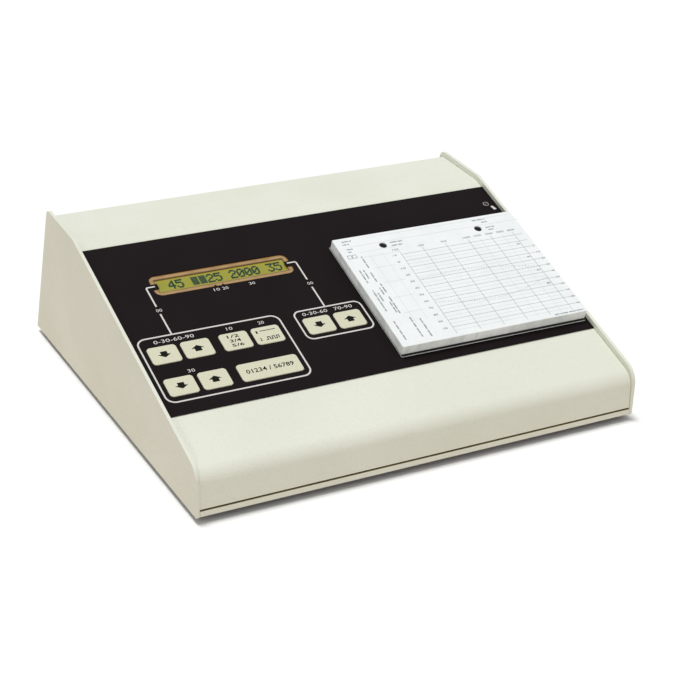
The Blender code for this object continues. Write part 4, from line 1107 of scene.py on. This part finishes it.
row_top, row_pitch, row_count, octave = 149.0, 7.15, 12, 19.12
grid_left, grid_right, grid_low, grid_high, row_right = 54.4, 150.0, 63.8, 152.6, 156.8
grid_tall, grid_middle = grid_high - grid_low, (grid_low + grid_high) / 2
fine, bold = 0.22, 0.34


def ruled_rows(right, top, thickness):
    middle = (grid_left + right) / 2
    return ruled(middle, top, right - grid_left, thickness, row_count, 0, -row_pitch)


chart_lines = [
    ruled_rows(row_right, row_top, bold),
    ruled(grid_left, grid_middle, bold, grid_tall, 6, octave, 0),
]
faint_lines = [
    ruled_rows(grid_right, row_top - row_pitch / 2, fine),
    ruled(121.3, grid_middle, fine, grid_tall, 2, 19.2, 0),
    ruled(91.2, 165.2, 143, fine, 1, 0, 1),
    ruled(97.5, 172.2, 122, fine, 1, 0, 1),
    ruled(31.0, 118.5, fine, 73, 2, 10.0, 0),
    ruled(39.5, 157.9, 29, fine, 2, 0, -5.4),
    ruled(36.0, 140.0, 17, fine, 4, 0, -16.0),
]
fix(joined("chart_rules", *chart_lines), "pad", chart_ink, "grey_lead")
fix(joined("faint_chart_rules", *faint_lines), "pad", faint_ink, "grey_lead")

# %% Number the scales
chart_numbers = []
for i in range(row_count):
    level, y = i * 10 - 10, row_top - i * row_pitch
    chart_numbers.append((str(level), 48.6, y, 3.4 if level else 2.1, 1.7, 0))
    if i > 1:
        chart_numbers.append((str(level - 10), 158.2, y - 0.1, 1.7 if level == 10 else 2.9, 1.6, 0))
pitches = (73.3, 92.4, 111.9, 121.1, 130.9, 140.5, 149.8)
for x, words in zip(pitches, ("250", "500", "1000", "1500", "2000", "3000", "4000")):
    chart_numbers.append((words, x, 154.9, 1.55 * len(words), 1.7, 0))
chart_numbers.append(("125", 52.3, 154.9, 5.0, 1.7, 0))
for i in range(4):
    chart_numbers.append((str(20 + 20 * i), 147.6, 139.1 - 14.9 * i, 3.0, 1.7, 0))
figures = lettering("chart_numbers", chart_numbers, pad_top, put_chart)
fix(figures, "pad", figure_ink, "black_plastic")

# %% Small print as rows of grey marks
word_ink = screen_ink("grey_small_print_ink", (104, 110, 118), (160, 166, 172), 0.7)
word_rows = [
    (20.7, 171.3, 7.6, 0), (18.8, 168.2, 5.3, 0), (19.2, 162.8, 4.9, 0), (18.4, 160.0, 3.1, 0),
    (57.1, 163.0, 10.6, 0), (56.4, 159.6, 9.4, 0),
    (131.0, 171.2, 11.0, 0), (134.3, 168.1, 4.6, 0), (135.8, 161.9, 7.5, 0), (135.5, 159.2, 4.8, 0),
    (24.0, 147.4, 12.8, 90), (16.0, 133.3, 13.4, 90), (19.0, 135.3, 9.3, 90), (23.0, 131.5, 10.2, 90),
    (24.6, 119.2, 9.5, 90), (22.0, 116.7, 7.5, 90), (15.8, 107.8, 22.4, 90), (18.4, 111.2, 9.5, 90),
    (24.3, 101.4, 18.1, 90), (22.4, 99.3, 10.8, 90), (16.0, 77.0, 19.8, 90), (29.0, 77.0, 20.0, 90),
    (35.6, 75.3, 19.4, 90), (146.6, 62.9, 24.7, 0),
]
mark_sizes = (
    (0.8, 1.1), (0.5, 1.1), (0.9, 0.8), (0.6, 1.3), (0.8, 0.8), (0.4, 1.1), (0.9, 0.9), (0.5, 1.3),
)
mark_gap, word_gap, word_lengths = 0.28, 1.0, (5, 3, 7, 4, 6)


def small_print(x, y, length, turn, first):
    """The outlines of one row of marks about its middle, in millimetres."""
    put_row = Matrix.Rotation(radians(turn), 2)
    outlines, used, number, left = [], 0.0, first, word_lengths[first % len(word_lengths)]
    while True:
        wide, tall = mark_sizes[number % len(mark_sizes)]
        if used + wide > length:
            return outlines
        mark_outline = rectangle(wide * mm, tall * mm, 0, (used + wide / 2 - length / 2) * mm, 0)
        outlines.append([put_row @ p + Vector((x * mm, y * mm)) for p in mark_outline])
        number, left = number + 1, left - 1
        used += wide + (mark_gap if left else word_gap)
        left = left or word_lengths[number % len(word_lengths)]


word_outlines = [o for i, row in enumerate(word_rows) for o in small_print(*row, i)]
print(len(word_outlines), "marks")
fix(inked("chart_small_print", word_outlines, pad_top, put_chart), "pad", word_ink, "black_plastic")
tick_boxes = []
for x in (15.5, 19.3):
    tick_boxes += framed(*spots((x - 1.5, 153.1), (x + 1.5, 156.5)), 0.3 * mm, 0.32 * mm)
fix(inked("chart_tick_boxes", tick_boxes, pad_top, put_chart), "pad", figure_ink, "black_plastic")

# %% Dotted curves and grid dots
dotted, curve_dots = [], 46
for i in range(curve_dots):
    x, share = 56.0 + i * 2.1, i / (curve_dots - 1)
    sag = sin(pi * share)
    dotted += spots((x, 121.5 - 9.0 * share + 5.5 * sag), (x, 97.0 + 4.0 * share - 9.0 * sag))
for i in range(6):
    dotted += spots(*[(grid_left + octave * i, row_top - row_pitch * (j + 0.5)) for j in range(11)])
dot_outlines = [circle(0.55 * mm, p.x, p.y, 8) for p in dotted]
fix(inked("chart_dots", dot_outlines, pad_top, put_chart), "pad", figure_ink, "grey_lead")

# %% [markdown]
# ## The pegs
# Two black pegs stand up through the film and hold the pad. Their tips are level with the fresh pad.

# %% Turn the pegs
peg_plastic = moulded("matt_peg_plastic", (16, 16, 18), 0.6, 0.1)
for name, peg in pegs.items():
    low, high = box_in(slope, name)
    foot_top, tip = low.z + 1.2 * mm, 0.8 * mm
    profile = [(9 * mm, low.z), (9 * mm, foot_top), (peg_diameter, foot_top)]
    profile += [
        (peg_diameter - 2 * tip * inwards, high.z - tip * down) for inwards, down in quarter_turn(5)
    ]
    fix(turned(name + "_turned", profile, peg.x, peg.y), "case", peg_plastic, "black_plastic", name)

# %% [markdown]
# ## The rear fittings and the feet
# The rear plate carries a mains inlet, a rocker switch and three quarter-inch sockets with their nuts.
# A hexagonal nut is a prism whose corners are turned off at an angle: each ring keeps whichever is
# smaller, the hexagon or the turned circle.

# %% Nuts and sockets
nut_steps = 72


def nut_ring(across_flats, limit):
    """A hexagon whose corners are cut back to a circle."""
    points = []
    for i in range(nut_steps):
        a = 2 * pi * i / nut_steps
        flat_angle = (a + pi / 6) % (pi / 3) - pi / 6
        radius = min(across_flats / 2 / cos(flat_angle), limit / 2)
        points.append(Vector((cos(a), sin(a))) * radius)
    return points


def nut(name, across_flats, bore, height, place):
    """A chamfered nut that stands on the frame's floor."""
    corner = across_flats / cos(pi / 6)
    cut = (corner - across_flats) / 2 * tan(radians(30))
    chamfer = 0.25 * mm
    narrow, mouth = across_flats * 0.98, bore + 2 * chamfer
    outside = [(narrow, 0), (corner, cut), (corner, height - cut), (narrow, height)]
    inside = [(mouth, height), (bore, height - chamfer), (bore, chamfer), (mouth, 0)]
    rings = [(nut_ring(across_flats, limit), level) for limit, level in outside]
    rings += [(circle(diameter, steps=nut_steps), level) for diameter, level in inside]
    return lofted(name, rings, place, ring_shaped=True)


thread, thread_pitch, thread_depth = 9.4 * mm, 0.75 * mm, 0.35 * mm
for name in ("phone_jack_left", "phone_jack_right", "response_jack"):
    (low, high), middle = box_in(rear, name), middle_in(rear, name)
    nut_low, nut_high = box_in(rear, name + "_nut")
    shoulder = high.z - 5.6 * mm
    profile = [
        (6.5 * mm, low.z), (14.2 * mm, low.z), (15.0 * mm, low.z + 0.6 * mm),
        (15.0 * mm, shoulder - 0.4 * mm), (14.2 * mm, shoulder), (thread - thread_depth, shoulder),
    ]
    turn_count = int((high.z - shoulder - 0.6 * mm) / thread_pitch)
    for i in range(turn_count):
        start = shoulder + i * thread_pitch
        profile += [(thread, start + thread_pitch * 0.4), (thread, start + thread_pitch * 0.6)]
        profile += [(thread - thread_depth, start + thread_pitch)]
    profile += [(thread - 0.5 * mm, high.z - 0.3 * mm), (thread - 1.2 * mm, high.z)]
    profile += [(7.1 * mm, high.z), (6.5 * mm, high.z - 0.4 * mm)]
    socket = turned(name + "_body", profile, middle.x, middle.y, rear, ring_shaped=True)
    fix(socket, "case", nickel, "steel", name)
    put = at(rear, middle.x, middle.y, nut_low.z)
    hexagon = nut(name + "_hexagon", 14 * mm, thread + 0.4 * mm, nut_high.z - nut_low.z, put)
    fix(hexagon, "case", nickel, "steel", name + "_nut", crease=25)

# %% Inlet, switch and their marks
black = (black_plastic, "black_plastic")
for name, piece_name, radius, body, finish in (
    ("mains_inlet", "inlet_body", 0.35 * mm, "case", black),
    ("power_switch_body", "switch_bezel", 0.1 * mm, "case", black),
    ("inlet_pin_left", "inlet_blade_left", 0.35 * mm, "case", (nickel, "steel")),
    ("inlet_pin_earth", "inlet_blade_earth", 0.35 * mm, "case", (nickel, "steel")),
    ("inlet_pin_right", "inlet_blade_right", 0.35 * mm, "case", (nickel, "steel")),
    ("power_rocker", "rocker_cap", 0.4 * mm, "rocker", black),
):
    fix(copy_of(name, piece_name, radius), body, *finish, name)

# %% Print the rear marks
def rear_faces(name, least):
    """The flat faces of a solid that look to the rear, top one first, as frames that stand on them."""
    shape = bmesh.new()
    shape.from_mesh(nodes[name].data)
    rejoin(shape)
    faces = [f for f in shape.faces if f.normal.dot(slope_up) > 0.85 and f.calc_area() > least]
    found = [(face.calc_center_median(), face.normal.copy()) for face in faces]
    shape.free()
    found.sort(key=lambda entry: -entry[0].z)
    return [frame_at(middle, -across, out.cross(-across), out) for middle, out in found]


on_mark = [stroke(spots((0, -1.9), (0, 1.9)), 0.7 * mm)]
off_mark = [circle(4.2 * mm), circle(3.0 * mm)]
rocker_face_least = 50 * mm * mm
rocker_faces = rear_faces("power_rocker", rocker_face_least)
for name, mark, place in zip(("on_mark", "off_mark"), (on_mark, off_mark), rocker_faces):
    fix(inked(name, mark, 0.0, place), "rocker", white_ink, "white_card")

rear_labels = []
for name, words, width, rise in (
    ("response_jack", "3", 2.2, 12.0),
    ("phone_jack_right", "2", 2.3, 12.0),
    ("phone_jack_left", "1", 1.3, 12.0),
    ("mains_inlet", "~ 230", 11.5, 16.5),
):
    middle = middle_in(rear, name) / mm
    rear_labels.append((words, middle.x, middle.y + rise, width, 3.2, 0))
plate_out = box_in(rear, "rear_panel")[1].z
fix(lettering("rear_numbers", rear_labels, plate_out, rear), "case", black_ink, "black_film")

# %% [markdown]
# The case has four screws, four feet and six stud nuts. Each kind is modelled once, and one Geometry
# Nodes tree sets it down on every point, turned to the way that its point faces.

# %% Repeat one piece on many points
repeat_recipe = Recipe("piece_on_each_point")
facing = repeat_recipe.step(
    "GeometryNodeInputNamedAttribute", {"Name": "turn"}, data_type="FLOAT_VECTOR"
)
model = repeat_recipe.shape_of("Piece")
repeat_recipe.finished(repeat_recipe.start.outputs[0], model, zinc, Rotation=facing)


def repeated(name, model, places, material, slot, solids=(), crease=sharp_angle):
    """Sets a model down at each place, a frame of its own, as one piece."""
    mesh = points_mesh(name, [place.translation for place in places])
    turns = mesh.attributes.new("turn", "FLOAT_VECTOR", "POINT")
    for entry, place in zip(turns.data, places):
        entry.vector = place.to_euler()
    piece = repeat_recipe.grown(name, mesh, {"Piece": model}, Matrix())
    bpy.data.objects.remove(model)
    return fix(piece, "case", material, slot, *solids, crease=crease)


# %% Feet
foot_names = [name for name in nodes if name.startswith("foot_")]
foot_low, foot_high = [corner.z for corner in box_in(case, foot_names[0])]
foot_profile = [
    (5.0 * mm, foot_low + 1.2 * mm), (5.6 * mm, foot_low), (13.2 * mm, foot_low),
    (14.0 * mm, foot_low + 0.3 * mm), (15.8 * mm, -0.9 * mm), (16.0 * mm, -0.3 * mm),
    (4.0 * mm, -0.3 * mm), (4.0 * mm, foot_high - 0.3 * mm), (3.4 * mm, foot_high),
]
foot = turned("foot_model", foot_profile, 0, 0, Matrix())
foot_places = [at(case, *middle_in(case, name).to_2d()) for name in foot_names]
repeated("rubber_feet", foot, foot_places, rubber, "rubber", foot_names)

# %% Screws with a cross recess
screw_names = [name for name in nodes if name.startswith("rear_screw_")]
screw_low, screw_high = [corner.z for corner in box_in(rear, screw_names[0])]
head, head_height, rim, shank = 5.6 * mm, 1.9 * mm, 0.5 * mm, 2.9 * mm
under_head = screw_high - head_height
screw_profile = [
    (1.2 * mm, screw_low), (shank, screw_low + 0.8 * mm), (shank, under_head), (head, under_head),
]
for inwards, down in quarter_turn(6)[:-1]:
    height = rim + (head_height - rim) * (1 - down)
    screw_profile.append((head - head * 0.42 * inwards, under_head + height))
screw_profile.append((head * 0.4, screw_high))
screw = turned("screw_model", screw_profile, 0, 0, Matrix(), 32)
arm, blade, recess = 3.0 * mm, 0.7 * mm, 1.1 * mm
cross = []
corners = [Vector(p) / 2 for p in ((arm, -blade), (arm, blade), (blade, blade))]
for quarter in range(4):
    cross += [Matrix.Rotation(quarter * pi / 2, 2) @ p for p in corners]
cutter = flat("recess_cutter", [cross], screw_high - recess, screw_high + recess, Matrix())
bite = screw.modifiers.new("recess", "BOOLEAN")
bite.object, bite.solver = cutter, "EXACT"
screw = plain(screw)
bpy.data.objects.remove(cutter)
screw_places = [
    at(rear, *middle_in(rear, name).to_2d()) @ Matrix.Rotation(radians(23 + 31 * i), 4, "Z")
    for i, name in enumerate(screw_names)
]
repeated("rear_screws", screw, screw_places, zinc, "steel", screw_names)

# %% Nuts on the welded studs
stud_nut_names = [name for name in nodes if name.endswith(("front_nut", "rear_nut", "cover_nut"))]
nut_places = []
for name in stud_nut_names:
    low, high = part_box(name)
    facing_x = 1 if name.startswith("left") else -1
    root = ((low if facing_x > 0 else high).x, (low.y + high.y) / 2, (low.z + high.z) / 2)
    nut_places.append(frame_at(root, -facing_x * up, back, facing_x * across))
stud_nut = nut("stud_nut_model", 7 * mm, 4.2 * mm, 3.2 * mm, Matrix())
repeated("stud_nuts", stud_nut, nut_places, zinc, "steel", stud_nut_names, 25)

# %% [markdown]
# ## Inside the case
# The inner parts are rarely seen, but the cover comes off on a bench. They keep their solids' shapes and
# get true finishes: solder-masked glass fibre, varnished iron, yellow tape and anodised alloy.

# %% Finishes of the inner parts
def circuit_board():
    """Green solder mask over copper tracks, which lift it a little and show paler."""
    board = Finish("green_circuit_board")
    pattern = {"Vector": board.spot(), "Scale": 95.0, "Mortar Size": 0.09, "Mortar Smooth": 0.1}
    tracks = board.node("TexBrick", pattern, "Fac", offset=0.37, squash=0.6, squash_frequency=3)
    weave = board.noise(600, 2)
    mask = board.mix(weave, (22, 84, 48), (30, 98, 58))
    return board.surface(
        Base_Color=board.mix(tracks * 0.6, mask, (58, 132, 78)),
        Roughness=0.3 + weave * 0.1,
        Normal=board.bump(tracks + weave * 0.2, 0.03 * mm),
    )


def dress(material, *names):
    """Paints solids that stay as they are."""
    for name in names:
        for place in nodes[name].material_slots:
            place.material = material
    print(material.name, "on", ", ".join(names))


dress(circuit_board(), "main_board", "keypad_board", "display_board")
dress(metal("core_varnish", (88, 88, 92), 0.45, 0.05, 2000), "transformer_core")
dress(moulded("yellow_winding_tape", (206, 168, 86), 0.4), "transformer_coil")
dress(moulded("blue_shrink_sleeve", (46, 60, 122), 0.25), "smoothing_capacitor")
dress(metal("black_anodised_alloy", (52, 52, 56), 0.4), "heat_sink")
dress(moulded("grey_flat_lead", (172, 172, 170), 0.45), "keypad_ribbon", "display_ribbon")

# %% [markdown]
# The main board is bare so far. Ten chips and a row of resistors fill it. A chip is a body with a notch
# and sixteen bent legs, and the same tree that set down the feet sets down the copies. A resistor is a
# turned barrel on a bent wire. Its colour bands lie across one line of the board, so the pattern needs
# only the distance from that line.

# %% Chips on their legs
board_low, board_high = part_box("main_board")
on_board = frame_at((board_low.x, board_low.y, board_high.z), across, back, up)
side_on = frame_at((0, 0, 0), back, up, across)


def chip_outline(shrink):
    """A chip's outline, with the notch that marks its first leg."""
    x, y = 10 * mm - shrink, 3.2 * mm - shrink
    corners = [Vector(corner) for corner in ((-x, -y), (x, -y), (x, y), (-x, y))]
    return corners + arc(Vector((-x, 0)), 0.9 * mm, pi / 2, -pi, 8)


chip_rings = [
    (chip_outline(draft * mm), level * mm) for draft, level in ((0.25, 0.6), (0, 2.2), (0.25, 3.8))
]
chip = softened(lofted("chip_model", chip_rings, Matrix()), 0.1 * mm)
leg = spots((3.2, 2.3), (3.9, 2.3), (3.9, 0), (3.6, 0), (3.6, 2.0), (3.2, 2.0))


def mirrored(outline):
    return [outline, [Vector((-p.x, p.y)) for p in outline]]


leg_pitch, leg_width, leg_pairs = 2.54 * mm, 0.5 * mm, 8
leg_row = [(i - (leg_pairs - 1) / 2) * leg_pitch - leg_width / 2 for i in range(leg_pairs)]
legs = joined("legs_model", *[flat("legs", mirrored(leg), x, x + leg_width, side_on) for x in leg_row])
chip_spots = [(x, y) for x in (26, 56) for y in (22, 38, 54)]
chip_spots += [(80, 92), (110, 92), (165, 30), (165, 46)]
chip_places = [at(on_board, x * mm, y * mm) for x, y in chip_spots]
repeated("board_chips", chip, chip_places, black_plastic, "black_plastic")
repeated("chip_legs", legs, chip_places, nickel, "steel", crease=25)

# %% Resistors with colour bands
resistor_row, resistor_rise = 76 * mm, 1.3 * mm


def banded_lacquer():
    """Tan lacquer with four colour bands at set distances from the middle of the row."""
    lacquer = Finish("banded_lacquer")
    along_row = lacquer.along((0, 1, 0)) - (on_board.translation.y + resistor_row)
    skin = lacquer.noise(900, 2)
    seen = lacquer.mix(skin, (206, 174, 128), (190, 156, 110))
    for middle, tone in (
        (-2.3, (96, 52, 24)), (-1.1, (20, 18, 18)), (0.0, (170, 34, 28)), (2.2, (176, 140, 60)),
    ):
        off = along_row - middle * mm
        in_band = 1.0 - off.maths("ABSOLUTE", off).above(0.28 * mm)
        seen = lacquer.mix(in_band, seen, tone)
    return lacquer.surface(Base_Color=seen, Roughness=0.3 + skin * 0.1)


half_barrel = ((1.2, -3.2), (2.1, -3.0), (2.4, -2.4), (2.0, -1.5))
barrel = [*half_barrel, *[(wide, -level) for wide, level in reversed(half_barrel)]]
lying = frame_at((0, 0, resistor_rise), across, -up, back)
resistor = turned("resistor_model", [(wide * mm, level * mm) for wide, level in barrel], 0, 0, lying, 24)
bent = stroke(spots((3.2, 1.3), (4.6, 1.3), (4.6, 0)), 0.5 * mm)
wires = flat("wires_model", mirrored(bent), -0.25 * mm, 0.25 * mm, side_on)
resistor_spots = (56, 61, 66, 71, 82, 87, 92, 120, 125)
resistor_places = [at(on_board, x * mm, resistor_row) for x in resistor_spots]
repeated("board_resistors", resistor, resistor_places, banded_lacquer(), "coil_tape")
repeated("resistor_wires", wires, resistor_places, zinc, "steel")

# %% [markdown]
# ## Floor, light and camera
# The object stands on a plain pale floor. A third of the light comes evenly from all round, and most of
# the rest from a broad sun almost overhead, so the shadow hugs the front edge. A low fill lamp lifts the
# upright faces. The floor looks white to the camera and keeps the shadow, but it throws back a warmer
# light, as a buff studio sheet does.

# %% Floor
floor_seen, floor_bounce = (0.98, 0.98, 0.98, 1), (0.80, 0.71, 0.64, 1)
floor_finish = Finish("pale_floor")
by_camera = floor_finish.node("LightPath", {}, "Is Camera Ray")
tones = {0: by_camera, 6: floor_bounce, 7: floor_seen}
floor_diffuse = floor_finish.node(
    "BsdfDiffuse", {"Color": floor_finish.node("Mix", tones, 2, data_type="RGBA")}
)
floor_finish.tree.links.new(floor_diffuse.socket, floor_finish.output.inputs["Surface"])
floor_mesh, floor_half = bpy.data.meshes.new("floor"), 6.0
floor_corners = [(x * floor_half, y * floor_half, 0) for x, y in ((-1, -1), (1, -1), (1, 1), (-1, 1))]
floor_mesh.from_pydata(floor_corners, [], [(0, 1, 2, 3)])
floor_mesh.materials.append(floor_finish.material)
new_piece("floor", floor_mesh)

# %% World and sun
world = bpy.data.worlds.new("soft_room")
bpy.context.scene.world = world
world.use_nodes = True
room = world.node_tree
room.nodes.clear()


def room_node(kind, values, result=0, **settings):
    return wire(room, "ShaderNode" + kind, values, settings, result)


rays = [room_node("LightPath", {}, kind) for kind in ("Is Camera Ray", "Is Glossy Ray")]
seen_white = room_node("Math", dict(enumerate(rays)), operation="MAXIMUM")
glow = room_node("Background", {"Color": (1, 0.995, 0.985, 1), "Strength": 0.4})
backdrop = room_node("Background", {"Color": (1, 1, 1, 1), "Strength": 1.0})
choice = room_node("MixShader", {0: seen_white, 1: glow, 2: backdrop})
room.links.new(choice, room.nodes.new("ShaderNodeOutputWorld").inputs["Surface"])


def soft_sun(name, energy, angle, tone, towards):
    """A broad distant lamp that shines from a direction."""
    lamp = bpy.data.lights.new(name, "SUN")
    lamp.energy, lamp.angle, lamp.color = energy, radians(angle), tone
    sun = bpy.data.objects.new(name, lamp)
    bpy.context.scene.collection.objects.link(sun)
    sun.rotation_euler = Vector(towards).to_track_quat("Z", "Y").to_euler()


soft_sun("overhead_sun", 2.04, 15, (0.985, 1, 0.99), (-0.09, 0.14, 0.986))
soft_sun("low_fill", 0.78, 10, (1, 0.98, 0.95), (-0.5, -0.86, 0.06))
print(len(bpy.data.lights), "lamps")

# %% Camera
camera_data = bpy.data.cameras.new("camera")
camera_data.lens = 89.04
camera_data.sensor_width = 36
camera = bpy.data.objects.new("camera", camera_data)
bpy.context.scene.collection.objects.link(camera)
right_way = Vector((0.88543, -0.46369, 0.03175))
up_way = Vector((0.17680, 0.39921, 0.89965))
camera_spot = case.translation + Vector((-0.51183, -0.814897, 0.55226))
camera.matrix_world = frame_at(camera_spot, right_way, up_way, right_way.cross(up_way))
bpy.context.scene.camera = camera
bpy.context.scene.view_settings.view_transform = "Standard"
